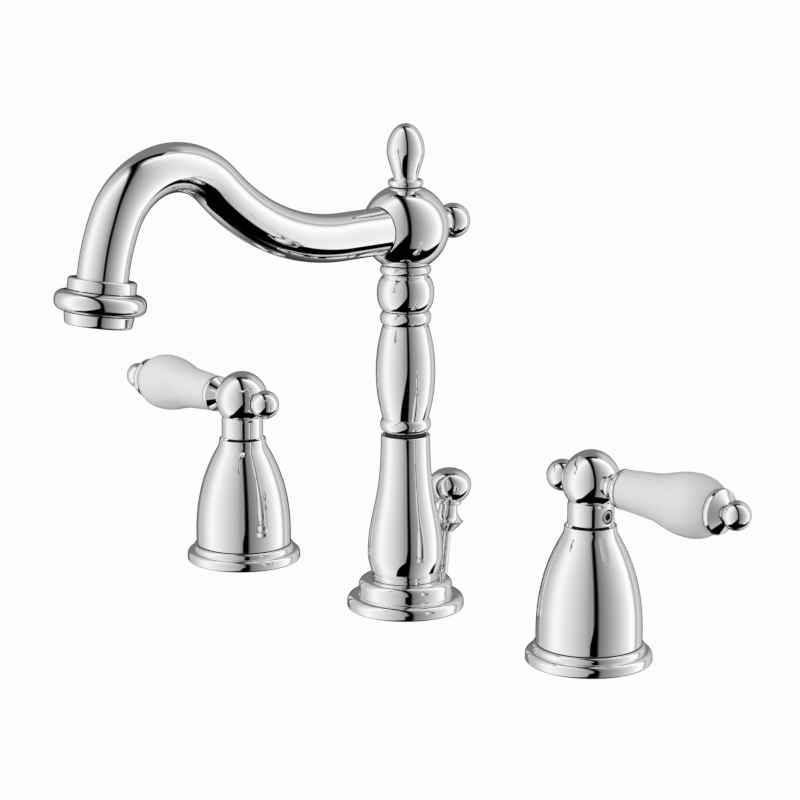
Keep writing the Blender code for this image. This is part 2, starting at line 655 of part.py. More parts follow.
def spout_path(start_reach, insert):
    """The tube's centre line in the YZ plane, from the hub to the outlet, and the direction it ends in."""
    place_now = Vector((TUBE_STRAIGHT_REACH, HUB_CENTRE))
    heading = 0.0
    points = [Vector((start_reach, HUB_CENTRE)), place_now.copy()]
    bends = (
        (RISE_BEND_RADIUS, RISE_BEND_DEGREES, 1, 6),
        (CROWN_BEND_RADIUS, CROWN_BEND_DEGREES, -1, 11),
        (FALL_BEND_RADIUS, FALL_BEND_DEGREES, -1, 3),
    )
    for index, (radius, degrees, sense, steps) in enumerate(bends):
        if index == 1:
            place_now += Vector((math.cos(heading), math.sin(heading))) * RISE_STRAIGHT
            points.append(place_now.copy())
        centre = place_now + Vector((-math.sin(heading), math.cos(heading))) * radius * sense
        for step in range(1, steps + 1):
            angle = heading + sense * math.radians(degrees) * step / steps
            points.append(centre - Vector((-math.sin(angle), math.cos(angle))) * radius * sense)
        heading += sense * math.radians(degrees)
        place_now = points[-1].copy()
    points.append(place_now + Vector((math.cos(heading), math.sin(heading))) * insert)
    return [(0, -point.x, point.y) for point in points], place_now, heading


def spout_tube(axis):
    points, end, heading = spout_path(TUBE_SOCKET_REACH + SEAT_GAP, TUBE_INSERT)
    piece = tube("spout_tube", points, TUBE_RADIUS, TUBE_SIDES_SHARE, CHROME, axis)
    inner = spout_path(TUBE_SOCKET_REACH - OVERRUN, TUBE_INSERT + OVERRUN)[0]
    cut(piece, tube("tube_bore_cutter", inner, TUBE_BORE, BORE_SIDES_SHARE, None, axis))
    lean = math.degrees(heading) + 90
    return pivot("outlet_axis", (0, -end.x, end.y), (-lean, 0, 0), axis)


def outlet(frame):
    """Collar, bead and aerator below the tube's end; local Z runs back up the tube."""
    socket = TUBE_RADIUS + SEAT_GAP
    collar_low = -COLLAR_HEIGHT
    stop = -TUBE_INSERT - SEAT_GAP
    outline = [(socket, 0), (COLLAR_RADIUS - EDGE, 0), (COLLAR_RADIUS, -EDGE), (COLLAR_RADIUS, collar_low)]
    outline += [(OUTLET_BORE, collar_low), (OUTLET_BORE, stop), (socket, stop)]
    turned("spout_collar", outline, MID_SEGMENTS, CHROME, frame)
    bead_high = collar_low - SEAT_GAP
    bead_low = bead_high - BEAD_HEIGHT
    outline = [(OUTLET_BORE, bead_high)] + bead(BEAD_ROOT, BEAD_RADIUS, bead_high, bead_low, 6)
    turned("spout_bead", outline + [(OUTLET_BORE, bead_low)], MID_SEGMENTS, CHROME, frame)
    housing_high = bead_low - SEAT_GAP
    housing_low = housing_high - HOUSING_HEIGHT
    lip = HOUSING_BORE - HOUSING_LIP
    outline = [(HOUSING_BORE, housing_high), (HOUSING_RADIUS, housing_high)]
    corner = (HOUSING_MOUTH_RADIUS - HOUSING_ROUND, housing_low + HOUSING_ROUND)
    outline += arc(corner, (HOUSING_ROUND, HOUSING_ROUND), 0, -90, 3)
    outline += [(lip, housing_low), (lip, housing_low + HOUSING_LIP_HEIGHT)]
    outline += [(HOUSING_BORE, housing_low + HOUSING_LIP_HEIGHT)]
    housing = turned("aerator_housing", outline, MID_SEGMENTS, CHROME, frame)
    middle = (housing_high + housing_low) / 2
    for side, word in ((1, "right"), (-1, "left")):
        centre = (side * (HOUSING_RADIUS + OVERRUN / 2 - FLAT_DEPTH), 0, middle)
        cut(housing, block(word + "_flat_cutter", (OVERRUN, FLAT_WIDTH, FLAT_HEIGHT), centre, frame))
    washer_high = housing_high
    washer_low = washer_high - AERATOR_WASHER_THICKNESS
    insert_radius = HOUSING_BORE - SEAT_GAP
    ring(
        "aerator_washer", insert_radius - AERATOR_WASHER_WIDTH, insert_radius,
        washer_high, washer_low, COARSE_SEGMENTS, RUBBER, frame,
    )
    insert_high = washer_low - SEAT_GAP
    insert_low = housing_low + HOUSING_LIP_HEIGHT + SEAT_GAP
    outline = [(0, insert_high), (insert_radius, insert_high), (insert_radius, insert_low), (0, insert_low)]
    insert = turned("aerator_insert", outline, COARSE_SEGMENTS, NYLON, frame)
    for number in range(STREAM_HOLE_COUNT):
        angle = math.tau * number / STREAM_HOLE_COUNT
        across = (STREAM_CIRCLE_RADIUS * math.cos(angle), STREAM_CIRCLE_RADIUS * math.sin(angle))
        high, low = (*across, insert_high + OVERRUN), (*across, insert_low - OVERRUN)
        name = "stream_cutter_%d" % number
        cut(insert, bar(name, STREAM_HOLE_RADIUS, low, high, PLAIN_SEGMENTS, None, frame))


# Lift rod


def lift_rod():
    frame = pivot("lift_rod_axis", (0, ROD_REACH, ROD_FOOT_HEIGHT), (-ROD_LEAN_DEGREES, 0, 0))
    neck = LIFT_KNOB_BOTTOM + LIFT_KNOB_NECK_HEIGHT
    centre = LIFT_KNOB_BOTTOM + LIFT_KNOB_CENTRE
    rod_top = neck
    hole = ROD_RADIUS + SEAT_GAP
    rod = [(0, rod_top), (ROD_RADIUS, rod_top), (ROD_RADIUS, -ROD_BELOW), (0, -ROD_BELOW)]
    turned("lift_rod", rod, COARSE_SEGMENTS, CHROME, frame)
    cap_angle = math.degrees(math.acos(LIFT_KNOB_CAP_RADIUS / LIFT_KNOB_RADIUS))
    ring_angle = -math.degrees(math.acos(LIFT_KNOB_RING_RADIUS / LIFT_KNOB_RADIUS))
    cap = centre + LIFT_KNOB_RADIUS * math.sin(math.radians(cap_angle))
    outline = [(0, cap + LIFT_KNOB_CAP_RISE)]
    outline += arc((0, centre), (LIFT_KNOB_RADIUS, LIFT_KNOB_RADIUS), cap_angle, ring_angle, 5)
    ring_high = outline[-1][1]
    outline += [(LIFT_KNOB_RING_RADIUS, ring_high - LIFT_KNOB_RING_HEIGHT)]
    flare = (LIFT_KNOB_FLARE_RADIUS, LIFT_KNOB_BOTTOM + LIFT_KNOB_TAPER)
    throat = (LIFT_KNOB_NECK_RADIUS, ring_high - LIFT_KNOB_RING_HEIGHT)
    outline += curve(throat, flare, LIFT_KNOB_LEAVE_SHARES, LIFT_KNOB_ARRIVE_SHARES, 3)
    outline += [(hole + EDGE, LIFT_KNOB_BOTTOM), (hole, LIFT_KNOB_BOTTOM), (hole, rod_top + SEAT_GAP)]
    outline += [(0, rod_top + SEAT_GAP)]
    turned("lift_knob", outline, MID_SEGMENTS, CHROME, frame)


# Handle stations. Each is built with its lever along local +X; the left one stands turned half round.


def handle_base(side, station):
    bore = VALVE_RADIUS + SEAT_GAP
    recess = GASKET_THICKNESS + SEAT_GAP
    bead_top = BASE_HEIGHT + BASE_BEAD_HEIGHT
    outline = [(bore, bead_top)]
    corner = (BASE_BEAD_RADIUS - BASE_BEAD_ROUND, bead_top - BASE_BEAD_ROUND)
    outline += arc(corner, (BASE_BEAD_ROUND, BASE_BEAD_ROUND), 90, 0, 2)
    outline += [(BASE_BEAD_RADIUS, BASE_HEIGHT)]
    outline += arc((BASE_RADIUS - BASE_ROUND, BASE_HEIGHT - BASE_ROUND), (BASE_ROUND, BASE_ROUND), 90, 0, 2)
    outline += [(BASE_RADIUS, 0)]
    outline += [(BASE_GASKET_OUTER + SEAT_GAP, 0), (BASE_GASKET_OUTER + SEAT_GAP, recess)]
    outline += [(BASE_GASKET_INNER - SEAT_GAP, recess), (BASE_GASKET_INNER - SEAT_GAP, 0), (bore, 0)]
    turned(side + "_base_flange", outline, FINE_SEGMENTS, CHROME, station)
    ring(
        side + "_base_gasket", BASE_GASKET_INNER, BASE_GASKET_OUTER,
        GASKET_THICKNESS, 0, FINE_SEGMENTS, RUBBER, station,
    )


def bell(side, station):
    bottom = BASE_HEIGHT + BASE_BEAD_HEIGHT + SEAT_GAP
    hole = BONNET_SLEEVE_RADIUS + SEAT_GAP
    shoulder = (BELL_SHOULDER_RADIUS, BELL_TOP - BELL_COLLAR_HEIGHT)
    skirt = (BELL_RADIUS, BELL_SKIRT_HEIGHT)
    flank = curve(shoulder, skirt, BELL_LEAVE_SHARES, BELL_ARRIVE_SHARES, 5)
    outline = [(hole, BELL_TOP), (BELL_COLLAR_RADIUS - EDGE, BELL_TOP)]
    outline += [(BELL_COLLAR_RADIUS, BELL_TOP - EDGE)]
    outline += flank + [(BELL_RADIUS, bottom), (BELL_RADIUS - BELL_WALL, bottom)]
    roof = BELL_TOP - BELL_ROOF
    inner = [(radius - BELL_WALL, height) for radius, height in reversed(flank) if height < roof]
    turned(side + "_bell", outline + inner + [(hole, roof)], FINE_SEGMENTS, CHROME, station)


def valve(side, station):
    body_high = LOWEST_DECK_FACE - VALVE_SHANK_BELOW_DECK
    body_low = body_high - VALVE_BODY_LENGTH
    inlet_low = body_low - VALVE_INLET_LENGTH
    seat = CARTRIDGE_RADIUS + SEAT_GAP
    outline = [
        (seat, VALVE_TOP), (VALVE_RADIUS, VALVE_TOP), (VALVE_RADIUS, body_high),
        (VALVE_BODY_RADIUS, body_high), (VALVE_BODY_RADIUS, body_low),
        (VALVE_INLET_RADIUS, body_low), (VALVE_INLET_RADIUS, inlet_low),
        (VALVE_WATERWAY, inlet_low), (VALVE_WATERWAY, CARTRIDGE_BOTTOM - SEAT_GAP),
        (seat, CARTRIDGE_BOTTOM - SEAT_GAP),
    ]
    body = turned(side + "_valve_body", outline, MID_SEGMENTS, BRASS, station)
    level = (body_high + body_low) / 2
    near, far = (-VALVE_WATERWAY - OVERRUN, 0, level), (-OUTLET_STUB_REACH, 0, level)
    stub = bar(side + "_stub_joiner", OUTLET_STUB_RADIUS, near, far, COARSE_SEGMENTS, None, station)
    way_far = (-OUTLET_STUB_REACH - OVERRUN, 0, level)
    middle = (0, 0, level)
    way = bar(side + "_stub_cutter", OUTLET_STUB_BORE, middle, way_far, COARSE_SEGMENTS, None, station)
    fuse(body, stub)
    cut(body, way)
    boss_top = VALVE_TOP + CARTRIDGE_BOSS_HEIGHT
    port_top = (CARTRIDGE_BOTTOM + VALVE_TOP) / 2
    outline = [
        (0, boss_top), (CARTRIDGE_BOSS_RADIUS, boss_top), (CARTRIDGE_BOSS_RADIUS, VALVE_TOP),
        (CARTRIDGE_RADIUS, VALVE_TOP), (CARTRIDGE_RADIUS, CARTRIDGE_BOTTOM),
        (CARTRIDGE_PORT, CARTRIDGE_BOTTOM), (CARTRIDGE_PORT, port_top), (0, port_top),
    ]
    turned(side + "_ceramic_cartridge", outline, COARSE_SEGMENTS, NYLON, station)


def bonnet(side, station):
    low = VALVE_TOP + SEAT_GAP
    shoulder = VALVE_TOP + CARTRIDGE_BOSS_HEIGHT + SEAT_GAP
    high = low + BONNET_NUT_HEIGHT
    nut = bar(side + "_bonnet_nut", BONNET_NUT_RADIUS, (0, 0, low), (0, 0, high), 6, BRASS, station)
    inside = (0, 0, (low + high) / 2)
    top = (0, 0, BONNET_TOP)
    sleeve = bar(side + "_sleeve_joiner", BONNET_SLEEVE_RADIUS, inside, top, COARSE_SEGMENTS, None, station)
    fuse(nut, sleeve)
    boss = CARTRIDGE_BOSS_RADIUS + SEAT_GAP
    below = (0, 0, low - OVERRUN)
    boss_way = bar(side + "_boss_cutter", boss, below, (0, 0, shoulder), COARSE_SEGMENTS, None, station)
    stem_top = (0, 0, BONNET_TOP + OVERRUN)
    stem_hole = STEM_RADIUS + RUNNING_GAP
    stem_way = bar(side + "_stem_cutter", stem_hole, (0, 0, low), stem_top, COARSE_SEGMENTS, None, station)
    cut(nut, boss_way, stem_way)


def deck_clamp(side, station):
    bore = VALVE_RADIUS + SEAT_GAP
    rubber_low = LOWEST_DECK_FACE - RUBBER_THICKNESS
    washer_high = rubber_low - SEAT_GAP
    washer_low = washer_high - WASHER_THICKNESS
    nut_high = washer_low - SEAT_GAP
    outer = LOCK_WASHER_RADIUS
    ring(side + "_rubber_washer", bore, outer, LOWEST_DECK_FACE, rubber_low, MID_SEGMENTS, RUBBER, station)
    ring(side + "_steel_washer", bore, outer, washer_high, washer_low, MID_SEGMENTS, STEEL, station)
    hex_nut(side + "_lock_nut", LOCK_NUT_RADIUS, bore, nut_high, nut_high - LOCK_NUT_HEIGHT, BRASS, station)


def handle_hub(side, axis, lever):
    bottom = BELL_TOP + SEAT_GAP + EDGE
    socket = STEM_RADIUS + SEAT_GAP
    ball_low = -math.degrees(math.acos(NECK_RADIUS / BALL_RADIUS))
    centre = (0, HANDLE_AXIS_HEIGHT)
    outline = arc(centre, (BALL_RADIUS, BALL_CROWN), 90, 0, 3)
    outline += arc(centre, (BALL_RADIUS, BALL_RADIUS), 0, ball_low, 3)[1:]
    outline += [(NECK_RADIUS, bottom + EDGE), (NECK_RADIUS - EDGE, bottom), (socket, bottom)]
    outline += [(socket, STEM_SOCKET_TOP), (0, STEM_SOCKET_TOP)]
    outline[0] = (0, outline[0][1])
    hub = turned(side + "_handle_hub", outline, MID_SEGMENTS, CHROME, axis)
    outside = BALL_RADIUS + OVERRUN
    way = LEVER_ROD_RADIUS + SEAT_GAP
    screw_hole = SCREW_RADIUS + SEAT_GAP
    screw_in, screw_out = (0, 0, SCREW_HEIGHT), (NECK_RADIUS + OVERRUN, 0, SCREW_HEIGHT)
    front, rear = (0, 0, outside), (0, 0, -outside)
    front_seat, rear_seat = (0, 0, SEAT_REACH), (0, 0, -SEAT_REACH)
    cut(
        hub,
        bar(side + "_rod_way_cutter", way, rear, front, COARSE_SEGMENTS, None, lever),
        bar(side + "_front_seat", FERRULE_SEAT_RADIUS, front_seat, front, COARSE_SEGMENTS, None, lever),
        bar(side + "_rear_seat", REAR_SEAT_RADIUS, rear, rear_seat, COARSE_SEGMENTS, None, lever),
        bar(side + "_screw_hole_cutter", screw_hole, screw_in, screw_out, COARSE_SEGMENTS, None, axis),
    )
    stem_low = VALVE_TOP + CARTRIDGE_BOSS_HEIGHT + SEAT_GAP
    stem_high = STEM_SOCKET_TOP - SEAT_GAP
    stem = [(0, stem_high), (STEM_RADIUS, stem_high), (STEM_RADIUS, stem_low), (0, stem_low)]
    turned(side + "_valve_stem", stem, COARSE_SEGMENTS, BRASS, axis)


def set_screw(side, axis):
    outer = NECK_RADIUS - SCREW_SINK
    head, tip = (outer, 0, SCREW_HEIGHT), (outer - SCREW_LENGTH, 0, SCREW_HEIGHT)
    screw = bar(side + "_set_screw", SCREW_RADIUS, tip, head, COARSE_SEGMENTS, STEEL, axis)
    floor = (outer - SCREW_SOCKET_DEPTH, 0, SCREW_HEIGHT)
    beyond = (outer + OVERRUN, 0, SCREW_HEIGHT)
    cut(screw, bar(side + "_hex_socket_cutter", SCREW_SOCKET_RADIUS, floor, beyond, 6, None, axis))


def lever_grip(side, lever):
    """The porcelain grip and the chrome on both ends of it; heights run outwards from the handle's axis."""
    way = LEVER_ROD_RADIUS + SEAT_GAP
    far_end = (GRIP_FAR_RADIUS, GRIP_END)
    belly = (GRIP_BELLY_RADIUS, GRIP_START + GRIP_LENGTH * GRIP_BELLY_SHARE)
    waist = (GRIP_WAIST_RADIUS, GRIP_START + GRIP_LENGTH * GRIP_WAIST_SHARE)
    near_end = (GRIP_NEAR_RADIUS, GRIP_START)
    outline = [(way, GRIP_END)]
    outline += curve(far_end, belly, GRIP_ROUND_SHARES, GRIP_BELLY_SHARES, 4)
    outline += curve(belly, waist, GRIP_FLAT_SHARES, GRIP_RISE_SHARES, 4)[1:]
    outline += curve(waist, near_end, GRIP_STRAIGHT_SHARES, GRIP_STRAIGHT_SHARES, 2)[1:]
    outline += [(way, GRIP_START)]
    turned(side + "_porcelain_grip", outline, MID_SEGMENTS, PORCELAIN, lever)
    step = SEAT_REACH + SEAT_GAP + FERRULE_NECK_LENGTH
    cone = step + FERRULE_STEP_LENGTH
    rim = cone + FERRULE_CONE_LENGTH
    outline = [
        (way, rim + FERRULE_RIM_LENGTH), (FERRULE_RIM_RADIUS, rim + FERRULE_RIM_LENGTH),
        (FERRULE_RIM_RADIUS, rim), (FERRULE_STEP_RADIUS, cone), (FERRULE_STEP_RADIUS, step),
        (FERRULE_NECK_RADIUS, step),
        (FERRULE_NECK_RADIUS, SEAT_REACH + SEAT_GAP), (way, SEAT_REACH + SEAT_GAP),
    ]
    turned(side + "_lever_ferrule", outline, MID_SEGMENTS, CHROME, lever)
    band = CAP_START + CAP_BAND_LENGTH
    ball_low = -math.degrees(math.acos(CAP_NECK_RADIUS / END_BALL_RADIUS))
    outline = arc((0, END_BALL_REACH), (END_BALL_RADIUS, END_BALL_RADIUS), 90, ball_low, 5)
    outline += [(GRIP_FAR_RADIUS + CAP_BAND_FLARE, band), (GRIP_FAR_RADIUS, CAP_START), (way, CAP_START)]
    outline += [(way, CAP_START + CAP_BAND_LENGTH), (0, CAP_START + CAP_BAND_LENGTH)]
    outline[0] = (0, outline[0][1])
    turned(side + "_lever_end_cap", outline, COARSE_SEGMENTS, CHROME, lever)
    rear_start = SEAT_REACH + SEAT_GAP
    flat = math.degrees(math.asin((REAR_BALL_REACH - rear_start) / REAR_BALL_RADIUS))
    seat_radius = REAR_BALL_RADIUS * math.cos(math.radians(flat))
    outline = [(0, -REAR_BALL_REACH), (way, -REAR_BALL_REACH)]
    outline += [(way, -rear_start), (seat_radius, -rear_start)]
    outline += arc((0, -REAR_BALL_REACH), (REAR_BALL_RADIUS, REAR_BALL_RADIUS), flat, -90, 4)[1:]
    outline[-1] = (0, outline[-1][1])
    turned(side + "_rear_cap_nut", outline, COARSE_SEGMENTS, CHROME, lever)
    rod_high, rod_low = band - SEAT_GAP, -REAR_BALL_REACH + SEAT_GAP
    rod = [(0, rod_high), (LEVER_ROD_RADIUS, rod_high), (LEVER_ROD_RADIUS, rod_low), (0, rod_low)]
    turned(side + "_lever_rod", rod, COARSE_SEGMENTS, STEEL, lever)


def handle_station(side, sign):
    where = (sign * SPREAD / 2, 0, 0)
    half_turn = (0, 0, 90 - 90 * sign)
    station = pivot(side + "_station", where, half_turn)
    handle_base(side, station)
    bell(side, station)
    valve(side, station)
    bonnet(side, station)
    deck_clamp(side, station)
    axis = pivot(side + "_handle_axis", where, half_turn)
    lever = pivot(side + "_lever_axis", (0, 0, HANDLE_AXIS_HEIGHT), (0, 90, 0), axis)
    handle_hub(side, axis, lever)
    set_screw(side, axis)
    lever_grip(side, lever)


spout_foot()
lower_column()
SWIVEL = pivot("spout_swivel_axis")
spigot(SWIVEL)
upper_column(SWIVEL)
column_bulb(SWIVEL)
spout_hub(SWIVEL)
hub_finial(SWIVEL)
rear_knob(SWIVEL)
outlet(spout_tube(SWIVEL))
lift_rod()
handle_station("left", -1)
handle_station("right", 1)
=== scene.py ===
"""Looks of a widespread bathroom faucet in polished chrome and white porcelain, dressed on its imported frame.

Metres, +Z up, deck at z = 0. Sizes are written in millimetres, times MM.
"""

import json
import math

import bmesh
import bpy
from mathutils import Matrix, Vector


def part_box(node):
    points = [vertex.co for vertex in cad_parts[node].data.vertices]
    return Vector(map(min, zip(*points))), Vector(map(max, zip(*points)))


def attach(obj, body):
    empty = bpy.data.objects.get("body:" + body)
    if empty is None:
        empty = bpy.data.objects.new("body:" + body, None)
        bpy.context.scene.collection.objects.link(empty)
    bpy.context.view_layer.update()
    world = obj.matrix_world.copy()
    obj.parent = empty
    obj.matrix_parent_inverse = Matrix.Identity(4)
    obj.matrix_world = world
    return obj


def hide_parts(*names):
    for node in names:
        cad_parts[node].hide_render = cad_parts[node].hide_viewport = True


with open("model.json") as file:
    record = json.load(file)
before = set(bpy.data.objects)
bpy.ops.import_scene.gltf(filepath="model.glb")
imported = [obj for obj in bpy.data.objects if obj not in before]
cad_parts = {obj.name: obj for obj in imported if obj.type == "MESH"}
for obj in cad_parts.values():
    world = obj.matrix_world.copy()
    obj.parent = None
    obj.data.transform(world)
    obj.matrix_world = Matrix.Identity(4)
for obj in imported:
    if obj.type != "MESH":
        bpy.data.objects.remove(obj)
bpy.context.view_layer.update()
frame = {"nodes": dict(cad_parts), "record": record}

# Camera: stands in front of the faucet and to its right, and looks slightly down. Its long lens keeps the two
# handles close to the same size.

MM = 0.001
CAMERA_PLACE = Vector((774.43, -758.24, 327.04)) * MM
CAMERA_YAW = math.radians(45.724)
CAMERA_PITCH = math.radians(12.482)
FOCAL_LENGTH = 122.63
SENSOR_WIDTH = 36

lens = bpy.data.cameras.new("camera")
lens.sensor_width = SENSOR_WIDTH
lens.lens = FOCAL_LENGTH
lens.clip_start = 0.05
lens.clip_end = 20
camera = bpy.data.objects.new("camera", lens)
camera.location = CAMERA_PLACE
camera.rotation_euler = (math.radians(90) - CAMERA_PITCH, 0, CAMERA_YAW)
bpy.context.scene.collection.objects.link(camera)
bpy.context.scene.camera = camera
bpy.context.scene.view_settings.view_transform = "Standard"

# Studio: a white room. Polished metal reflects two tall softboxes, the black gap between them, the dark table
# in front and a grey wall behind. All of it lies in fixed world directions, so it stays put when the camera
# moves.

ROOM_LIGHT = 0.52
# Of each softbox: its light at the edge, then how much it gains or loses between two degrees of turn.
LEFT_BOX = {
    "edge": 0.58, "rise": (0.37, -4, -76), "power": 0.6, "falls": ((0.22, -80, -128), (0.27, -134, -150)),
}
RIGHT_BOX = {
    "edge": 0.35, "rise": (0.63, 8, 98), "power": 0.9,
    "falls": ((0.17, 104, 118), (0.10, 128, 145), (0.25, 148, 172)),
}
SEAM_TURN = 118.5
SEAM_DEPTH = 0.16
GAP_SLOPE = 0.35
GAP_SHIFT = -0.15
CAP_LIGHT = 0.46
WALL_LIGHT = 0.80
WALL_REAR_FADE = 0.55
WALL_LOW_FADE = 0.45
BAR_PLACE = 0.24
TABLE_FRONT = -0.76
TABLE_RISE = 0.34
TABLE_CORNER_SLOPE = 1.05
TABLE_CORNER = -0.29
TABLE_LOWEST = -0.82
TABLE_REAR = -0.985
PANEL_DEPTH = 0.6
DARKEST = 0.02
BRIGHTEST = 1.06
GAMMA = 2.2
FLOOR_COLOUR = (0.9, 0.9, 0.9, 1.0)
FLOOR_WHITENESS = 0.95
FLOOR_HALF = 6
WHITE = (1.0, 1.0, 1.0, 1.0)
LAMP_PLACE = Vector((-0.4, -1.1, 1.0))
LAMP_AIM = Vector((0, 0, 80 * MM))
LAMP_WIDTH = 0.9
LAMP_POWER = 10.0


class Term:
    """A shader socket, or a number, that can be used in sums. Each sum adds its Math node."""

    def __init__(self, shader, value):
        self.shader = shader
        self.value = value

    def do(self, operation, *others):
        node = self.shader.node("ShaderNodeMath", {"operation": operation}, (self, *others))
        return Term(self.shader, node.outputs[0])

    def __add__(self, other):
        return self.do("ADD", other)

    def __radd__(self, other):
        return Term(self.shader, other).do("ADD", self)

    def __sub__(self, other):
        return self.do("SUBTRACT", other)

    def __rsub__(self, other):
        return Term(self.shader, other).do("SUBTRACT", self)

    def __mul__(self, other):
        return self.do("MULTIPLY", other)

    def __rmul__(self, other):
        return Term(self.shader, other).do("MULTIPLY", self)

    def __pow__(self, other):
        return self.do("POWER", other)

    def size(self):
        return self.do("ABSOLUTE")

    def most(self, other):
        return self.do("MAXIMUM", other)

    def ramp(self, start, end, kind="SMOOTHSTEP"):
        """0 before start, 1 after end, smooth or linear between; start may be the larger."""
        node = self.shader.node(
            "ShaderNodeMapRange", {"interpolation_type": kind},
            Value=self, From_Min=min(start, end), From_Max=max(start, end),
        )
        made = Term(self.shader, node.outputs["Result"])
        return made if start < end else 1.0 - made


class Shader:
    """Builds one node tree, and every node of it comes from one method."""

    def __init__(self, tree):
        self.tree = tree
        tree.nodes.clear()

    def node(self, kind, settings=None, ordered=(), **named):
        """Adds a node: first its settings, then what its sockets hold, by their order or by their names."""
        made = self.tree.nodes.new(kind)
        for name, setting in (settings or {}).items():
            setattr(made, name, setting)
        for socket, value in zip(made.inputs, ordered):
            self.put(socket, value)
        for name, value in named.items():
            self.put(made.inputs[name.replace("_", " ")], value)
        return made

    def put(self, socket, value):
        """Links a socket, or gives it a number or a colour."""
        if isinstance(value, Term):
            value = value.value
        if isinstance(value, bpy.types.NodeSocket):
            self.tree.links.new(value, socket)
        else:
            socket.default_value = value

    def dot(self, vector, direction):
        node = self.node("ShaderNodeVectorMath", {"operation": "DOT_PRODUCT"}, (vector, direction))
        return Term(self, node.outputs["Value"])

    def mix(self, factor, first, second):
        """Mixes two colours. The node's colour sockets come after those for numbers and vectors."""
        node = self.node("ShaderNodeMix", {"data_type": "RGBA"}, Factor=factor)
        for socket, colour in ((node.inputs[6], first), (node.inputs[7], second)):
            self.put(socket, (*colour, 1.0) if isinstance(colour, tuple) else colour)
        return node.outputs[2]


def choose(share, otherwise, value):
    """otherwise where share is 0, value where it is 1."""
    return otherwise + share * (value - otherwise)


def softbox(turn, edge, rise, power, falls):
    """Brightness round the room, by degrees of turn: up from a dim edge, then down in steps."""
    amount, start, end = rise
    light = edge + amount * turn.ramp(start, end, "LINEAR") ** power
    for amount, start, end in falls:
        light = light - amount * turn.ramp(start, end)
    return light


def walls(turn, nearer, height, side, rear):
    """Brightness of the softboxes, of the ceiling's end behind them and of the low wall at the back."""
    seam = (turn - SEAM_TURN).size().ramp(6, 2)
    right_box = softbox(turn, **RIGHT_BOX) * (1.0 - SEAM_DEPTH * seam)
    light = choose(side, softbox(turn, **LEFT_BOX), right_box)
    cap = nearer.ramp(-0.28, -0.36) * height.ramp(0.74, 0.86)
    light = choose(cap, light, CAP_LIGHT)
    low_wall = WALL_LIGHT - WALL_REAR_FADE * turn.size().ramp(132, 178)
    low_wall = low_wall - WALL_LOW_FADE * height.ramp(-0.85, -0.97)
    return choose(rear * height.ramp(-0.30, -0.45), light, low_wall)


def table_edge(across, turn, side, rear):
    """How high the dark table reaches in each direction: higher at the right, and hardly at all behind."""
    front = TABLE_FRONT + TABLE_RISE * turn.ramp(75, 122)
    corner = (TABLE_CORNER_SLOPE * across + TABLE_CORNER).most(TABLE_LOWEST)
    return choose(rear, choose(side, corner, front), TABLE_REAR)


def make_studio():
    """Glossy rays see what is painted by direction, dull surfaces an even light, the camera white."""
    world = bpy.data.worlds.new("studio")
    bpy.context.scene.world = world
    world.use_nodes = True
    shader = Shader(world.node_tree)
    way = shader.node("ShaderNodeTexCoord").outputs["Generated"]
    across = shader.dot(way, (math.cos(CAMERA_YAW), math.sin(CAMERA_YAW), 0.0))
    nearer = shader.dot(way, (math.sin(CAMERA_YAW), -math.cos(CAMERA_YAW), 0.0))
    height = shader.dot(way, (0.0, 0.0, 1.0))
    turn = across.do("ARCTAN2", nearer) * math.degrees(1)
    line = (GAP_SLOPE * nearer + GAP_SHIFT) * nearer.ramp(-0.38, -0.30)
    side = (across - line).ramp(-0.02, 0.02)
    rear = turn.ramp(116, 121) + turn.ramp(-128, -138)
    gap = (across - line).size().ramp(0.15, 0.02) * nearer.ramp(-0.36, -0.31)
    bar = (nearer + BAR_PLACE).size().ramp(0.09, 0.065)
    bar = bar * across.size().ramp(0.33, 0.29) * height.ramp(0.4, 0.5)
    table = (height - table_edge(across, turn, side, rear)).ramp(0.035, -0.02)
    shade = (1.0 - gap) * (1.0 - bar) * (1.0 - table)
    away = Vector((-math.sin(CAMERA_YAW), math.cos(CAMERA_YAW), -math.tan(CAMERA_PITCH))).normalized()
    panel = shader.dot(way, away[:]).ramp(0.90, 0.985)
    light = walls(turn, nearer, height, side, rear)
    shown = light * shade * (1.0 - PANEL_DEPTH * panel) + DARKEST
    paths = shader.node("ShaderNodeLightPath")
    glossy = Term(shader, paths.outputs["Is Glossy Ray"])
    seen = Term(shader, paths.outputs["Is Camera Ray"])
    strength = choose(glossy, ROOM_LIGHT, BRIGHTEST * shown ** GAMMA)
    strength = choose(seen, strength, 1.0)
    background = shader.node("ShaderNodeBackground", Color=WHITE, Strength=strength)
    shader.node("ShaderNodeOutputWorld", Surface=background.outputs[0])


def make_floor():
    mesh = bpy.data.meshes.new("floor")
    plane = bmesh.new()
    bmesh.ops.create_grid(plane, x_segments=1, y_segments=1, size=FLOOR_HALF)
    plane.to_mesh(mesh)
    plane.free()
    floor = bpy.data.objects.new("floor", mesh)
    bpy.context.scene.collection.objects.link(floor)
    material = bpy.data.materials.new("pale_floor")
    material.use_nodes = True
    shader = Shader(material.node_tree)
    matt = shader.node("ShaderNodeBsdfDiffuse", Color=FLOOR_COLOUR)
    white = shader.node("ShaderNodeEmission", Color=WHITE, Strength=1.0)
    seen = Term(shader, shader.node("ShaderNodeLightPath").outputs["Is Camera Ray"])
    blend = shader.node(
        "ShaderNodeMixShader", None, (seen * FLOOR_WHITENESS, matt.outputs[0], white.outputs[0])
    )
    shader.node("ShaderNodeOutputMaterial", Surface=blend.outputs[0])
    mesh.materials.append(material)
    floor.visible_glossy = False


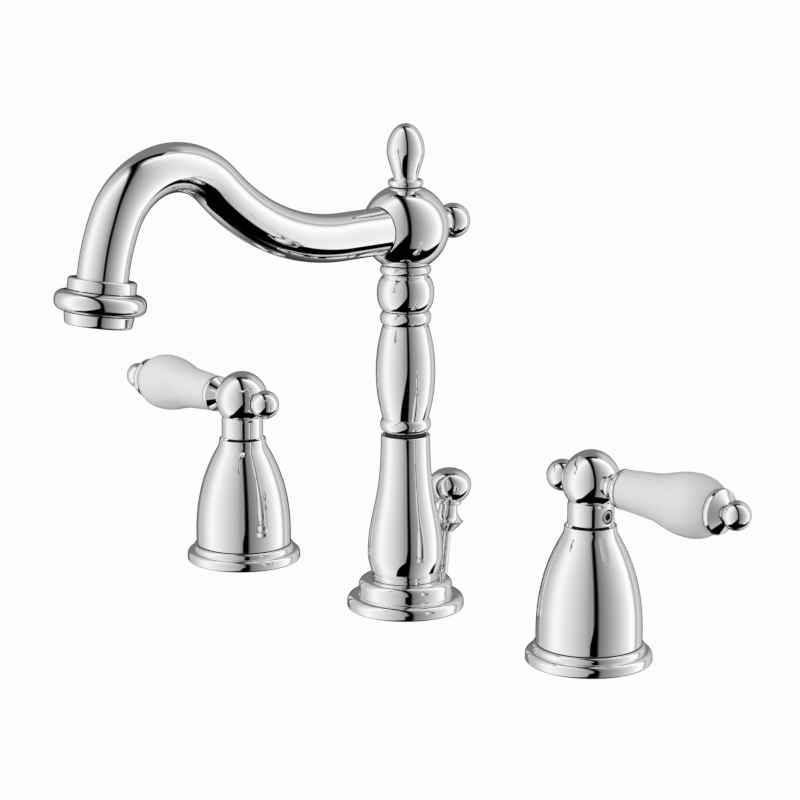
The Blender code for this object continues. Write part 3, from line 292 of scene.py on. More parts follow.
def make_key_lamp():
    light = bpy.data.lights.new("key_lamp", "AREA")
    light.size = LAMP_WIDTH
    light.energy = LAMP_POWER
    lamp = bpy.data.objects.new("key_lamp", light)
    lamp.location = LAMP_PLACE
    aim = LAMP_AIM - lamp.location
    lamp.rotation_euler = aim.to_track_quat("-Z", "Y").to_euler()
    lamp.visible_glossy = False
    bpy.context.scene.collection.objects.link(lamp)


make_studio()
make_floor()
make_key_lamp()

# Polished chrome: plated castings and turned brass, buffed to a mirror. The surface keeps a faint ripple from
# buffing and a breath of dulling, which bend and soften the edges of what it reflects.

CHROME_COLOUR = (0.93, 0.935, 0.945)
CHROME_DULLED = (0.90, 0.905, 0.92)


def start_material(name):
    """A new material, its node tree, and the place on the piece that its patterns follow."""
    made = bpy.data.materials.new(name)
    made.use_nodes = True
    shader = Shader(made.node_tree)
    return made, shader, shader.node("ShaderNodeTexCoord").outputs["Object"]


def noise(shader, place, scale, detail):
    made = shader.node("ShaderNodeTexNoise", Vector=place, Scale=scale, Detail=detail)
    return Term(shader, made.outputs["Fac"])


def finish_material(shader, relief, strength, depth, **values):
    """Ends a material: a relief that bends its surface, and the values or patterns of its shader."""
    bump = shader.node("ShaderNodeBump", Strength=strength, Distance=depth, Height=relief)
    principled = shader.node("ShaderNodeBsdfPrincipled", Normal=bump.outputs[0], **values)
    shader.node("ShaderNodeOutputMaterial", Surface=principled.outputs[0])


def make_chrome():
    material, shader, place = start_material("polished_chrome_look")
    dulling = noise(shader, place, scale=60.0, detail=2.0)
    ripple = noise(shader, place, scale=38.0, detail=0.0)
    colour = shader.mix(dulling, CHROME_COLOUR, CHROME_DULLED)
    roughness = 0.012 + 0.024 * dulling.ramp(0.40, 0.75)
    finish_material(
        shader, ripple, strength=0.03, depth=1.2 * MM, Base_Color=colour, Metallic=1.0, Roughness=roughness
    )
    return material


CHROME = make_chrome()

# Spout foot: a round flange with a smaller tier turned on it. One chrome-plated casting, drawn down on the
# deck by the nut below, with the hole for the lift rod behind.

SEGMENTS = 144
CUTTER_SEGMENTS = 64
SHARP_ANGLE = math.radians(38)
LONG_STEP = 1.3 * MM
SUPPORT = 0.08 * MM
WELD = 0.002 * MM
FIT = 0.3 * MM
LOOSE_FIT = 0.35 * MM
FOOT_STEP = 5.5 * MM
FOOT_EDGE = 1.0 * MM
TIER_TOP = 12.5 * MM
TIER_RADIUS = 19.3 * MM
TIER_CORNER = 3.3 * MM
ROD_RADIUS = 2.0 * MM
ROD_LEAN = Matrix.Rotation(math.radians(-6.4), 4, "X")
ROD_FOOT = Vector((0, 21.1, 3)) * MM
ROD_PLACE = Matrix.Translation(ROD_FOOT) @ ROD_LEAN


def arc(centre, radii, start, end, steps):
    """Points of an ellipse's arc; 90 degrees is straight up and 0 points outwards."""
    points = []
    for step in range(steps + 1):
        angle = math.radians(start + (end - start) * step / steps)
        points.append((centre[0] + radii[0] * math.cos(angle), centre[1] + radii[1] * math.sin(angle)))
    return points


def bead(root, crest, high, low, steps, reach=90):
    """A swelling between two heights: half an ellipse, or less of a larger one where reach is below 90."""
    share = math.radians(reach)
    wide, tall = (crest - root) / (1 - math.cos(share)), (high - low) / 2 / math.sin(share)
    return arc((crest - wide, (high + low) / 2), (wide, tall), reach, -reach, steps)


def curve(start, end, leave, arrive, steps):
    """A cubic curve whose handles are shares of the step in radius and in height."""
    across, along = end[0] - start[0], end[1] - start[1]
    first = (start[0] + across * leave[0], start[1] + along * leave[1])
    second = (end[0] - across * arrive[0], end[1] - along * arrive[1])
    nodes = (start, first, second, end)
    points = []
    for step in range(steps + 1):
        t = step / steps
        weights = ((1 - t) ** 3, 3 * t * (1 - t) ** 2, 3 * t**2 * (1 - t), t**3)
        points.append(tuple(sum(w * node[axis] for w, node in zip(weights, nodes)) for axis in (0, 1)))
    return points


def eased(corners, steps=6):
    """Rounds the corners of a line: each is (radius, height, how far back its rounding starts)."""
    points = []
    for index, (radius, height, ease) in enumerate(corners):
        here = Vector((radius, height))
        if not ease or index in (0, len(corners) - 1):
            points.append((radius, height))
            continue
        before = Vector(corners[index - 1][:2]) - here
        after = Vector(corners[index + 1][:2]) - here
        start = here + before.normalized() * min(ease, before.length / 2)
        end = here + after.normalized() * min(ease, after.length / 2)
        for step in range(steps + 1):
            t = step / steps
            point = start * (1 - t) ** 2 + here * 2 * t * (1 - t) + end * t**2
            points.append((point.x, point.y))
    return points


def radius_of(node):
    """A turned node's radius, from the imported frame."""
    low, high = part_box(node)
    return (high.x - low.x) / 2


def ends_of(node):
    """A node's bottom and top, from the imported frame."""
    low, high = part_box(node)
    return low.z, high.z


def link(name, solid, material, place):
    """Makes an object of a solid and moves its mesh to its place."""
    mesh = bpy.data.meshes.new(name)
    bmesh.ops.recalc_face_normals(solid, faces=solid.faces)
    bmesh.ops.transform(solid, matrix=place, verts=solid.verts)
    solid.to_mesh(mesh)
    solid.free()
    mesh.materials.append(material)
    mesh.shade_smooth()
    mesh.set_sharp_from_angle(angle=SHARP_ANGLE)
    made = bpy.data.objects.new(name, mesh)
    bpy.context.scene.collection.objects.link(made)
    return made


def hand_over(piece, body, nodes):
    """Says what a piece moves with and which nodes it stands for."""
    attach(piece, body)
    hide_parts(*nodes)
    return piece


def supported(outline):
    """Adds points close to both ends of each long straight step, so that its shading stays flat."""
    points = [outline[0]]
    for before, after in zip(outline, outline[1:]):
        step = Vector(after) - Vector(before)
        if step.length > LONG_STEP:
            near = step.normalized() * SUPPORT
            points += [tuple(Vector(before) + near), tuple(Vector(after) - near)]
        points.append(after)
    return points


def turned(name, outline, material, place=Matrix(), segments=SEGMENTS):
    """A solid of revolution about local Z, from an outline that runs down its outer side."""
    solid = bmesh.new()
    if outline[0][0] > 0:
        outline = outline + [outline[0]]
    corners = [solid.verts.new((radius, 0, height)) for radius, height in supported(outline)]
    edges = [solid.edges.new(pair) for pair in zip(corners, corners[1:])]
    bmesh.ops.spin(
        solid, geom=corners + edges, cent=(0, 0, 0), axis=(0, 0, 1), angle=math.tau, steps=segments,
        use_merge=True,
    )
    bmesh.ops.remove_doubles(solid, verts=solid.verts, dist=WELD)
    return link(name, solid, material, place)


def plated(name, outline, body, nodes, place=Matrix(), segments=SEGMENTS):
    """A turned piece in polished chrome."""
    return hand_over(turned(name, outline, CHROME, place, segments), body, nodes)


def plug(radius, low, high, place, edge=0, material=CHROME, segments=CUTTER_SEGMENTS):
    """A cutter along local Z; a positive edge widens its upper end into a chamfer."""
    outline = [(0, high), (radius, high), (radius, low), (0, low)]
    if edge:
        outline = [(0, high), (radius + edge, high), (radius, high - edge), (radius, low), (0, low)]
    return turned("plug", outline, material, place, segments)


def carve(piece, cutter):
    """Cuts one mesh with another, which is then removed."""
    step = piece.modifiers.new("cut", "BOOLEAN")
    step.object = cutter
    step.solver = "EXACT"
    bpy.context.view_layer.update()
    graph = bpy.context.evaluated_depsgraph_get()
    mesh = bpy.data.meshes.new_from_object(piece.evaluated_get(graph))
    piece.modifiers.remove(step)
    piece.data = mesh
    mesh.set_sharp_from_angle(angle=SHARP_ANGLE)
    bpy.data.objects.remove(cutter)


def make_foot():
    radius = radius_of("spout_base_flange")
    bottom, _ = ends_of("spout_base_flange")
    bore = radius_of("spout_shank") + FIT
    rim_width, rim_height, straight, tuck = 3.2 * MM, 3.0 * MM, 2.4 * MM, 2 * MM
    outline = [(bore, TIER_TOP)]
    outline += arc((TIER_RADIUS - TIER_CORNER, TIER_TOP - TIER_CORNER), (TIER_CORNER, TIER_CORNER), 90, 0, 24)
    outline += eased([
        (TIER_RADIUS, FOOT_STEP + straight, 0), (TIER_RADIUS, FOOT_STEP, 0.5 * MM),
        (radius - rim_width - 0.2 * MM, FOOT_STEP, 0),
    ])
    outline += arc((radius - rim_width, FOOT_STEP - rim_height), (rim_width, rim_height), 90, 0, 24)[1:]
    outline += eased([(radius, straight, 0), (radius, bottom, FOOT_EDGE), (radius - tuck, bottom, 0)])
    outline += [(bore, bottom)]
    foot = plated("spout_foot", outline, "deck_fixed", ["spout_base_flange"])
    cut_start, cut_end, chamfer = -20 * MM, 12.6 * MM, 0.3 * MM
    carve(foot, plug(ROD_RADIUS + LOOSE_FIT, cut_start, cut_end, ROD_PLACE, chamfer))


make_foot()

# Lower column: a slender bell between the foot and the swivel. Turned and plated, it is held down by the
# shank that runs up inside it.


def make_lower_column():
    belly = radius_of("spout_lower_body")
    _, top = ends_of("spout_lower_body")
    bottom = TIER_TOP + 0.15 * MM
    bore = radius_of("swivel_spigot") + LOOSE_FIT
    neck, edge = 10.05 * MM, 0.6 * MM
    belly_height, hem_height, groove_height = 22.6 * MM, 16.1 * MM, bottom + 1.15 * MM
    hem, groove, seat = 14.24 * MM, 12.3 * MM, 14 * MM
    outline = [(bore, top)] + arc((neck - edge, top - edge), (edge, edge), 90, 0, 10)
    outline += curve((neck, top - edge), (belly, belly_height), (0.0, 0.6), (0.0, 0.36), 60)[1:]
    outline += curve((belly, belly_height), (hem, hem_height), (0.0, 0.28), (0.57, 0.4), 30)[1:]
    outline += eased([(hem, hem_height, 0), (groove, groove_height, 1.0 * MM), (seat, bottom, 0)], 14)
    outline += [(bore, bottom)]
    plated("lower_column", outline, "deck_fixed", ["spout_lower_body"])


make_lower_column()

# Upper column: a ring, a baluster and a second ring, turned in one and plated. It stands on the swivel and
# turns with the spout.

RING_CREST = 10.35 * MM
RING_ROOT = 9.0 * MM
COLUMN_BORE = 4.2 * MM


def ring(high, low):
    """A bold ring round the column."""
    return bead(RING_ROOT, RING_CREST, high, low, 22, reach=72)


def make_upper_column():
    belly = radius_of("upper_column")
    bottom, top = ends_of("upper_column")
    neck, edge = 9.45 * MM, 0.5 * MM
    low_ring, high_ring, seam = 5.6 * MM, 5.7 * MM, 0.7 * MM
    low = bottom + edge + low_ring
    high = top - high_ring - seam
    middle = (low + high) / 2
    flat, steep = (0.0, 0.42), (0.57, 0.3)
    outline = [(COLUMN_BORE, top)] + ring(top, high + seam)
    outline += eased([
        (RING_ROOT, high + seam, 0), (neck - edge, high + seam, 0), (neck - edge, high, 0.2 * MM),
        (neck, high, 0),
    ])
    outline += curve((neck, high), (belly, middle), steep, flat, 30)[1:]
    outline += curve((belly, middle), (neck, low), flat, steep, 30)[1:]
    outline += ring(low, bottom + edge)
    outline += [(RING_ROOT - edge, bottom), (COLUMN_BORE, bottom)]
    plated("upper_column_turning", outline, "spout", ["upper_column"])


make_upper_column()

# Bulb: a rounded bulb with a ring above it, under the hub. It is turned from one piece of brass, plated, and
# screwed on the upper column.


def make_bulb():
    crest = radius_of("column_bulb")
    bottom, top = ends_of("column_bulb")
    ring_height, seam, shoulder, edge = 3.9 * MM, 1.1 * MM, 9.9 * MM, 0.1 * MM
    ring_low = top - ring_height
    high = ring_low - seam
    bead_high = ring_low - 0.9 * MM
    middle = (bead_high + bottom) / 2
    half_steps = 18
    outline = [(COLUMN_BORE, top)] + ring(top, ring_low)
    outline += [(RING_ROOT, high), (shoulder - edge, high)]
    outline += curve((shoulder, high - edge), (crest, middle), (0.5, 0.2), (0.0, 0.5), 36)
    whole = bead(RING_ROOT + 0.3 * MM, crest, bead_high, bottom, 2 * half_steps, reach=66)
    outline += whole[half_steps + 1:] + [(COLUMN_BORE, bottom)]
    plated("bulb_turning", outline, "spout", ["column_bulb"])


make_bulb()

# Hub: a polished ball that carries the spout tube in front, the finial above and the round knob behind. It is
# a plated casting with a socket for the tube and a smaller one for the knob.

HUB_RADIUS = 17.6 * MM
TUBE_RADIUS = 9.5 * MM
TUBE_FIT = 0.25 * MM
TUBE_SEAT = 8 * MM
KNOB_NECK = 4.8 * MM
KNOB_SEAT = 16.9 * MM
QUARTER = math.radians(90)


def hub_centre():
    """The hub's middle is as high as the knob behind it and the tube where it leaves the hub."""
    bottom, top = ends_of("rear_knob")
    return Vector((0, 0, (bottom + top) / 2))


HUB = hub_centre()
HUB_FRONT = Matrix.Translation(HUB) @ Matrix.Rotation(QUARTER, 4, "X")
HUB_BACK = Matrix.Translation(HUB) @ Matrix.Rotation(-QUARTER, 4, "X")


def make_hub():
    bottom, top = ends_of("spout_hub")
    low = -math.degrees(math.asin((HUB.z - bottom) / HUB_RADIUS))
    high = math.degrees(math.asin((top - HUB.z) / HUB_RADIUS))
    outline = [(0, top)] + arc((0, HUB.z), (HUB_RADIUS, HUB_RADIUS), high, low, 64) + [(0, bottom)]
    hub = plated("hub_ball", outline, "spout", ["spout_hub"])
    mouth, chamfer, knob_play, overrun = 15.2 * MM, 0.35 * MM, 0.2 * MM, 1 * MM
    carve(hub, plug(TUBE_RADIUS + TUBE_FIT, TUBE_SEAT, mouth, HUB_FRONT, chamfer))
    carve(hub, plug(KNOB_NECK + knob_play, KNOB_SEAT - FIT, HUB_RADIUS + overrun, HUB_BACK))


make_hub()

# Finial on the hub and knob behind it: an acorn on a collar, and a small ball on a short neck. Both are
# turned from brass, plated and screwed into the ball.


def make_finial():
    belly_radius = radius_of("hub_finial")
    _, top = ends_of("hub_finial")
    bottom = ends_of("spout_hub")[1] + FIT
    collar, collar_root, neck_radius, tenon = 7.1 * MM, 5.9 * MM, 4.9 * MM, 3 * MM
    collar_top = bottom + 2.9 * MM
    neck = collar_top + 0.9 * MM
    belly = neck + 10.1 * MM
    outline = arc((0, belly), (belly_radius, top - belly), 90, 0, 34)
    outline[0] = (0, top)
    outline += curve((belly_radius, belly), (neck_radius, neck), (0.0, 0.22), (0.22, 0.25), 30)[1:]
    outline += eased([
        (neck_radius, neck, 0), (neck_radius, collar_top, 0.4 * MM), (collar_root, collar_top, 0),
    ])
    outline += bead(collar_root, collar, collar_top, bottom, 20)
    outline += [(tenon, bottom), (0, bottom)]
    plated("finial_turning", outline, "spout", ["hub_finial"])


def make_knob():
    radius = radius_of("rear_knob")
    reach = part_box("rear_knob")[1].y - radius
    start = math.degrees(math.acos(KNOB_NECK / radius))
    root = reach - radius * math.sin(math.radians(start))
    outline = arc((0, reach), (radius, radius), 90, 6 - start, 40)
    outline[0] = (0, outline[0][1])
    outline += eased([
        (KNOB_NECK + 0.25 * MM, root, 0), (KNOB_NECK, KNOB_SEAT + 1.5 * MM, 0.3 * MM),
        (KNOB_NECK, KNOB_SEAT, 0),
    ])
    outline += [(0, KNOB_SEAT)]
    plated("rear_knob_turning", outline, "spout", ["rear_knob"], HUB_BACK)


make_finial()
make_knob()

# Swan-neck spout: one brass tube, bent, plated and seated in the hub. It runs straight out of the hub, up,
# over the crown and down, and bending has flattened its outer side a little at the crown.

BEND_START = 35.5 * MM
TUBE_INSERT = 3.6 * MM
TUBE_SIDES = 96
FLATTENED_SHARE = 0.042
FLATTENED_DEPTH = 14 * MM
# Of each bend: the straight stretch before it, its radius, degrees, sense (1 turns up) and steps.
BENDS = (
    (0, 89 * MM, 44.7, 1, 40),
    (1.5 * MM, 30.3 * MM, 110, -1, 70),
    (0, 75.5 * MM, 16, -1, 24),
)


def spout_line():
    """The tube's centre line as (reach, height, heading), and its visible end."""
    reach, height, heading = BEND_START, HUB.z, 0.0
    line = [(TUBE_SEAT + FIT, height, heading), (reach, height, heading)]
    for straight, radius, degrees, sense, steps in BENDS:
        if straight:
            reach += straight * math.cos(heading)
            height += straight * math.sin(heading)
            line.append((reach, height, heading))
        angle = math.radians(degrees)
        middle = (reach - math.sin(heading) * radius * sense, height + math.cos(heading) * radius * sense)
        for step in range(1, steps + 1):
            now = heading + sense * angle * step / steps
            reach = middle[0] + math.sin(now) * radius * sense
            height = middle[1] - math.cos(now) * radius * sense
            line.append((reach, height, now))
        heading += sense * angle
    end = (reach, height, heading)
    line.append((reach + TUBE_INSERT * math.cos(heading), height + TUBE_INSERT * math.sin(heading), heading))
    return line, end


SPOUT_LINE, SPOUT_END = spout_line()


def skin(solid, rings):
    """Joins closed rings of corners one after the other and closes both ends."""
    for first, second in zip(rings, rings[1:]):
        for side in range(len(first)):
            after = (side + 1) % len(first)
            solid.faces.new((first[side], first[after], second[after], second[side]))
    solid.faces.new(rings[0])
    solid.faces.new(rings[-1])


def make_tube():
    solid = bmesh.new()
    rings = []
    crown = max(height for _, height, _ in SPOUT_LINE)
    for reach, height, heading in SPOUT_LINE:
        centre = Vector((0, -reach, height))
        normal = Vector((0, math.sin(heading), math.cos(heading)))
        share = max(0, 1 - (crown - height) / FLATTENED_DEPTH)
        outer = 1 - FLATTENED_SHARE * share**2 * (3 - 2 * share)
        corners = []
        for side in range(TUBE_SIDES):
            turn = math.tau * side / TUBE_SIDES
            rise = math.sin(turn) * (outer if math.sin(turn) > 0 else 1)
            corner = centre + TUBE_RADIUS * (Vector((math.cos(turn), 0, 0)) + normal * rise)
            corners.append(solid.verts.new(corner))
        rings.append(corners)
    skin(solid, rings)
    hand_over(link("swan_neck", solid, CHROME, Matrix()), "spout", ["spout_tube"])


make_tube()

# Outlet: a collar and a bold bead on the tube's end, and the aerator's housing below them. The housing is a
# plated sleeve that unscrews from the bead, with a shallow recess on two sides for a wrench.

COLLAR_HEIGHT = 4.4 * MM
BEAD_HIGH = -COLLAR_HEIGHT - FIT
BEAD_LOW = BEAD_HIGH - 7.8 * MM
SHELL_HIGH = BEAD_LOW - FIT
SHELL_LOW = SHELL_HIGH - 4.5 * MM
OUTLET_PLACE = Matrix.Translation((0, -SPOUT_END[0], SPOUT_END[1])) @ Matrix.Rotation(
    -(SPOUT_END[2] + QUARTER), 4, "X"
)


def sector(radius, low, high, start, end, steps=30):
    """A cutter for a shallow recess in a round wall, between two angles in degrees."""
    outer = radius + 3 * MM
    corners = ((radius, low), (outer, low), (outer, high), (radius, high))
    solid = bmesh.new()
    rings = []
    for step in range(steps + 1):
        turn = math.radians(start + (end - start) * step / steps)
        rings.append([solid.verts.new((r * math.cos(turn), r * math.sin(turn), z)) for r, z in corners])
    skin(solid, rings)
    return link("recess", solid, CHROME, OUTLET_PLACE)


def make_collar():
    bore, radius, draft, rounding = TUBE_RADIUS + TUBE_FIT, 12.7 * MM, 0.1 * MM, 1.1 * MM
    outline = [(bore, 0)]
    outline += eased([(bore, 0, 0), (radius - draft, 0, rounding), (radius, -COLLAR_HEIGHT, 0)], 12)
    outline += [(bore, -COLLAR_HEIGHT)]
    plated("outlet_collar", outline, "spout", ["spout_collar"], OUTLET_PLACE)


def make_outlet_bead():
    """Its wall is a little squarer than half an ellipse."""
    bore, root, swelling, squareness = 7.6 * MM, 12.4 * MM, 4.6 * MM, 0.82
    middle, half = (BEAD_HIGH + BEAD_LOW) / 2, (BEAD_HIGH - BEAD_LOW) / 2
    outline = [(bore, BEAD_HIGH)]
    for degrees in range(90, -91, -3):
        angle = math.radians(degrees)
        bulge, rise = abs(math.cos(angle)) ** squareness, abs(math.sin(angle)) ** squareness
        outline.append((root + swelling * bulge, middle + math.copysign(rise, angle) * half))
    outline += [(bore, BEAD_LOW)]
    plated("outlet_bead", outline, "spout", ["spout_bead"], OUTLET_PLACE)


def make_aerator_shell():
    bore, lip, lip_height = 10.2 * MM, 9.1 * MM, 0.8 * MM
    upper, lower = 13.0 * MM, 12.3 * MM
    outline = [(bore, SHELL_HIGH)]
    outline += eased([
        (bore, SHELL_HIGH, 0), (upper, SHELL_HIGH, 0.3 * MM), (lower, SHELL_LOW, 1.0 * MM),
        (lip, SHELL_LOW, 0),
    ])
    outline += eased([
        (lip, SHELL_LOW, 0), (lip, SHELL_LOW + lip_height, 0.2 * MM), (bore, SHELL_LOW + lip_height, 0),
    ])
    housing = plated("aerator_shell", outline, "spout", ["aerator_housing"], OUTLET_PLACE)
    floor, margin_low, margin_high, half_width = 11.9 * MM, 0.9 * MM, 0.4 * MM, 28
    for side in (-8, 172):
        low, high = SHELL_LOW + margin_low, SHELL_HIGH - margin_high
        carve(housing, sector(floor, low, high, side - half_width, side + half_width))


make_collar()
make_outlet_bead()
make_aerator_shell()

# Lift rod and its knob: a thin plated rod that leans back behind the column, with a round knob on a flared
# foot screwed on its top. It works the drain plug.

LIFT_KNOB_BOTTOM = 24.8 * MM


def make_lift_knob():
    radius, crown, ring_radius, ring_root = 8.8 * MM, 6.6 * MM, 5.3 * MM, 4.9 * MM
    throat, taper, flare = 3.8 * MM, 4.4 * MM, 6.8 * MM
    bottom = LIFT_KNOB_BOTTOM
    centre, waist, flare_height = bottom + 20 * MM, bottom + 10.4 * MM, bottom + taper
    low = -math.degrees(math.acos(ring_root / radius))
    ring_high = centre - math.sqrt(radius**2 - ring_root**2)
    ring_low = ring_high - 1.2 * MM
    outline = arc((0, centre), (radius, crown), 90, 0, 36)
    outline[0] = (0, centre + crown)
    outline += arc((0, centre), (radius, radius), 0, low, 36)[1:]
    outline += bead(ring_root, ring_radius, ring_high, ring_low, 12)
    outline += eased([(ring_root, ring_low, 0), (throat, ring_low, 0.3 * MM), (throat, waist, 0)])
    outline += curve((throat, waist), (flare, flare_height), (0.05, 0.55), (0.6, 0.2), 26)[1:]
    outline += eased([
        (flare, flare_height, 0), (flare - 0.2 * MM, flare_height - 0.4 * MM, 0.2 * MM),
        (ROD_RADIUS + 0.8 * MM, bottom, 0),
    ])
    outline += [(0, bottom)]
    plated("lift_knob_turning", outline, "lift_rod", ["lift_knob"], ROD_PLACE)


def make_lift_rod():
    low, high, end_rounding = -62 * MM, LIFT_KNOB_BOTTOM + 9.9 * MM, 0.5 * MM
    outline = eased([
        (0, high, 0), (ROD_RADIUS, high, 0), (ROD_RADIUS, low, end_rounding), (0, low, 0),
    ])
    plated("lift_rod_wire", outline, "lift_rod", ["lift_rod"], ROD_PLACE, 48)


make_lift_knob()
make_lift_rod()

# Porcelain: slip-cast white clay, fired under a clear glaze. The glaze pools to a soft, slightly uneven
# gloss, and the clay below it is clouded a little.

PORCELAIN_COLOUR = (0.80, 0.80, 0.81)
PORCELAIN_CLOUD = (0.78, 0.785, 0.79)


def make_porcelain():
    material, shader, place = start_material("porcelain_look")
    cloud = noise(shader, place, scale=30.0, detail=2.0)
    grain = noise(shader, place, scale=700.0, detail=2.0)
    colour = shader.mix(cloud, PORCELAIN_COLOUR, PORCELAIN_CLOUD)
    finish_material(
        shader, cloud, strength=0.05, depth=0.6 * MM, Base_Color=colour, Roughness=0.26 + 0.06 * grain,
        Coat_Weight=0.3, Coat_Roughness=0.06, Coat_IOR=1.4,
    )
    return material


PORCELAIN = make_porcelain()

# Machined steel of the set screws, the levers' core rods and the washers below the deck. The tool has left
# a fine grain on it, and it is slightly darkened.

STEEL_COLOUR = (0.52, 0.53, 0.55)
STEEL_STAINED = (0.40, 0.41, 0.43)


def make_steel():
    material, shader, place = start_material("turned_steel_look")
    grain = noise(shader, place, scale=900.0, detail=3.0)
    stain = noise(shader, place, scale=90.0, detail=3.0)
    colour = shader.mix(stain, STEEL_COLOUR, STEEL_STAINED)
    finish_material(
        shader, grain, strength=0.15, depth=0.2 * MM, Base_Color=colour, Metallic=1.0,
        Roughness=0.24 + 0.16 * grain,
    )
    return material


STEEL = make_steel()

# Base flange and bell of a handle: a stepped ring on the deck, and the bell-shaped cover over the valve that
# stands on it. Both are turned from brass and plated.


def make_base(side, place):
    radius = radius_of(side + "_base_flange")
    bottom, top = ends_of(side + "_base_flange")
    bore, upper_radius, step = 13.3 * MM, 22.0 * MM, 4.7 * MM
    lip_width, lip_height, rim_width, rim_height = 1.3 * MM, 1.5 * MM, 2.1 * MM, 2.3 * MM
    outline = [(bore, top)]
    outline += arc((upper_radius - lip_width, top - lip_height), (lip_width, lip_height), 90, 0, 16)
    outline += eased([
        (upper_radius, top - lip_height, 0), (upper_radius, step, 0.3 * MM),
        (radius - rim_width - 0.1 * MM, step, 0),
    ])
    outline += arc((radius - rim_width, step - rim_height), (rim_width, rim_height), 90, 0, 22)[1:]
    outline += eased([(radius, 2.1 * MM, 0), (radius, bottom, 1.3 * MM), (radius - 2 * MM, bottom, 0)])
    outline += [(bore, bottom)]
    plated(side + "_base", outline, "deck_fixed", [side + "_base_flange"], place)


def make_bell(side, place):
    radius = radius_of(side + "_bell")
    bottom, top = ends_of(side + "_bell")
    bore, lip, edge, wall = 7.7 * MM, 10.2 * MM, 0.4 * MM, 1.8 * MM
    shoulder, skirt_height = 10.6 * MM, 12 * MM
    recess, shoulder_height, ceiling = top - 2.2 * MM, top - 3.4 * MM, top - 4.2 * MM
    leave, arrive = (0.64, 0.28), (0.0, 0.41)
    outline = [(bore, recess), (lip - 2 * edge, recess), (lip - 2 * edge, top - edge)]
    outline += arc((lip - edge, top - edge), (edge, edge), 180, 90, 8)[1:]
    outline += eased([
        (lip - edge, top, 0), (lip, top, 0.5 * MM), (lip, recess, 0.9 * MM), (shoulder, shoulder_height, 0),
    ], 10)[1:-1]
    outline += curve((shoulder, shoulder_height), (radius, skirt_height), leave, arrive, 60)[1:]
    outline += eased([(radius, skirt_height, 0), (radius, bottom, 0.3 * MM), (radius - wall, bottom, 0)])
    inner = curve((shoulder - wall, ceiling), (radius - wall, skirt_height), leave, arrive, 30)
    outline += inner[::-1] + [(bore, ceiling)]
    plated(side + "_bell_shell", outline, "deck_fixed", [side + "_bell"], place)


# Handle hub and set screw: a neck with a ball, bored for the valve's stem and for the lever, in one plated
# piece. The steel screw in its neck, with a hex socket, clamps it on the stem.

LEVER_HEIGHT = 71.3 * MM
LEVER_SEAT = 10.6 * MM
NECK_RADIUS = 9.0 * MM
BALL_RADIUS = 11.3 * MM
SCREW_HEIGHT = 58.9 * MM
SCREW_RADIUS = 2.5 * MM
HALF_TURN = math.radians(180)


def make_handle_hub(side, place, lever, screw_place):
    bottom, top = ends_of(side + "_handle_hub")
    throat = NECK_RADIUS - 0.4 * MM
    low = -math.degrees(math.acos(throat / BALL_RADIUS))
    joint = LEVER_HEIGHT + BALL_RADIUS * math.sin(math.radians(low))
    bore = radius_of(side + "_valve_stem") + FIT
    bore_top = ends_of(side + "_valve_stem")[1] + FIT
    outline = arc((0, LEVER_HEIGHT), (BALL_RADIUS, top - LEVER_HEIGHT), 90, 0, 34)
    outline[0] = (0, top)
    outline += arc((0, LEVER_HEIGHT), (BALL_RADIUS, BALL_RADIUS), 0, low + 1, 30)[1:]
    outline += eased([
        (throat + 0.1 * MM, joint + 0.1 * MM, 0), (throat, joint - 0.3 * MM, 0.2 * MM),
        (NECK_RADIUS - 0.15 * MM, joint - 1.0 * MM, 0.3 * MM), (NECK_RADIUS, joint - 1.3 * MM, 0.1 * MM),
        (NECK_RADIUS, bottom, 0.3 * MM), (NECK_RADIUS - 2 * MM, bottom, 0),
    ])
    outline += [(bore, bottom), (bore, bore_top), (0, bore_top)]
    hub = plated(side + "_hub_ball", outline, side + "_handle", [side + "_handle_hub"], place)
    hole_radius, hole_floor, hole_mouth = SCREW_RADIUS + 0.4 * MM, 4 * MM, NECK_RADIUS + 0.15 * MM
    carve(hub, plug(hole_radius, hole_floor, hole_mouth, screw_place, 0.25 * MM))
    socket_floor, socket_mouth = LEVER_SEAT - FIT, 13 * MM
    carve(hub, plug(4.55 * MM, socket_floor, socket_mouth, lever))
    back = lever @ Matrix.Rotation(HALF_TURN, 4, "Y")
    carve(hub, plug(4.65 * MM, socket_floor, socket_mouth, back))


def make_set_screw(side, screw_place):
    outer, length, socket_radius, socket_depth = NECK_RADIUS - 0.3 * MM, 3.9 * MM, 1.6 * MM, 3.2 * MM
    outline = eased([
        (0, outer, 0), (SCREW_RADIUS, outer, 0.35 * MM), (SCREW_RADIUS, outer - length, 0.2 * MM),
        (0, outer - length, 0),
    ])
    screw = turned(side + "_screw", outline, STEEL, screw_place, 48)
    hand_over(screw, side + "_handle", [side + "_set_screw"])
    hexagon = plug(
        socket_radius, outer - socket_depth, outer + 1 * MM, screw_place, material=STEEL, segments=6
    )
    carve(screw, hexagon)


# Lever: a porcelain grip threaded on a steel core rod, between a plated ferrule at the hub and a plated cap
# with a ball at the far end. A ball nut behind the hub draws the rod tight.

CORE_HOLE = 2.8 * MM
BELLY_SHARE = 0.748
WAIST_SHARE = 0.324


def grip_size(side):
    """Where the porcelain starts and ends along the lever, and its largest radius."""
    low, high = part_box(side + "_porcelain_grip")
    return LEVER_SEAT + 7.2 * MM, LEVER_SEAT + 7.9 * MM + high.x - low.x, (high.z - low.z) / 2


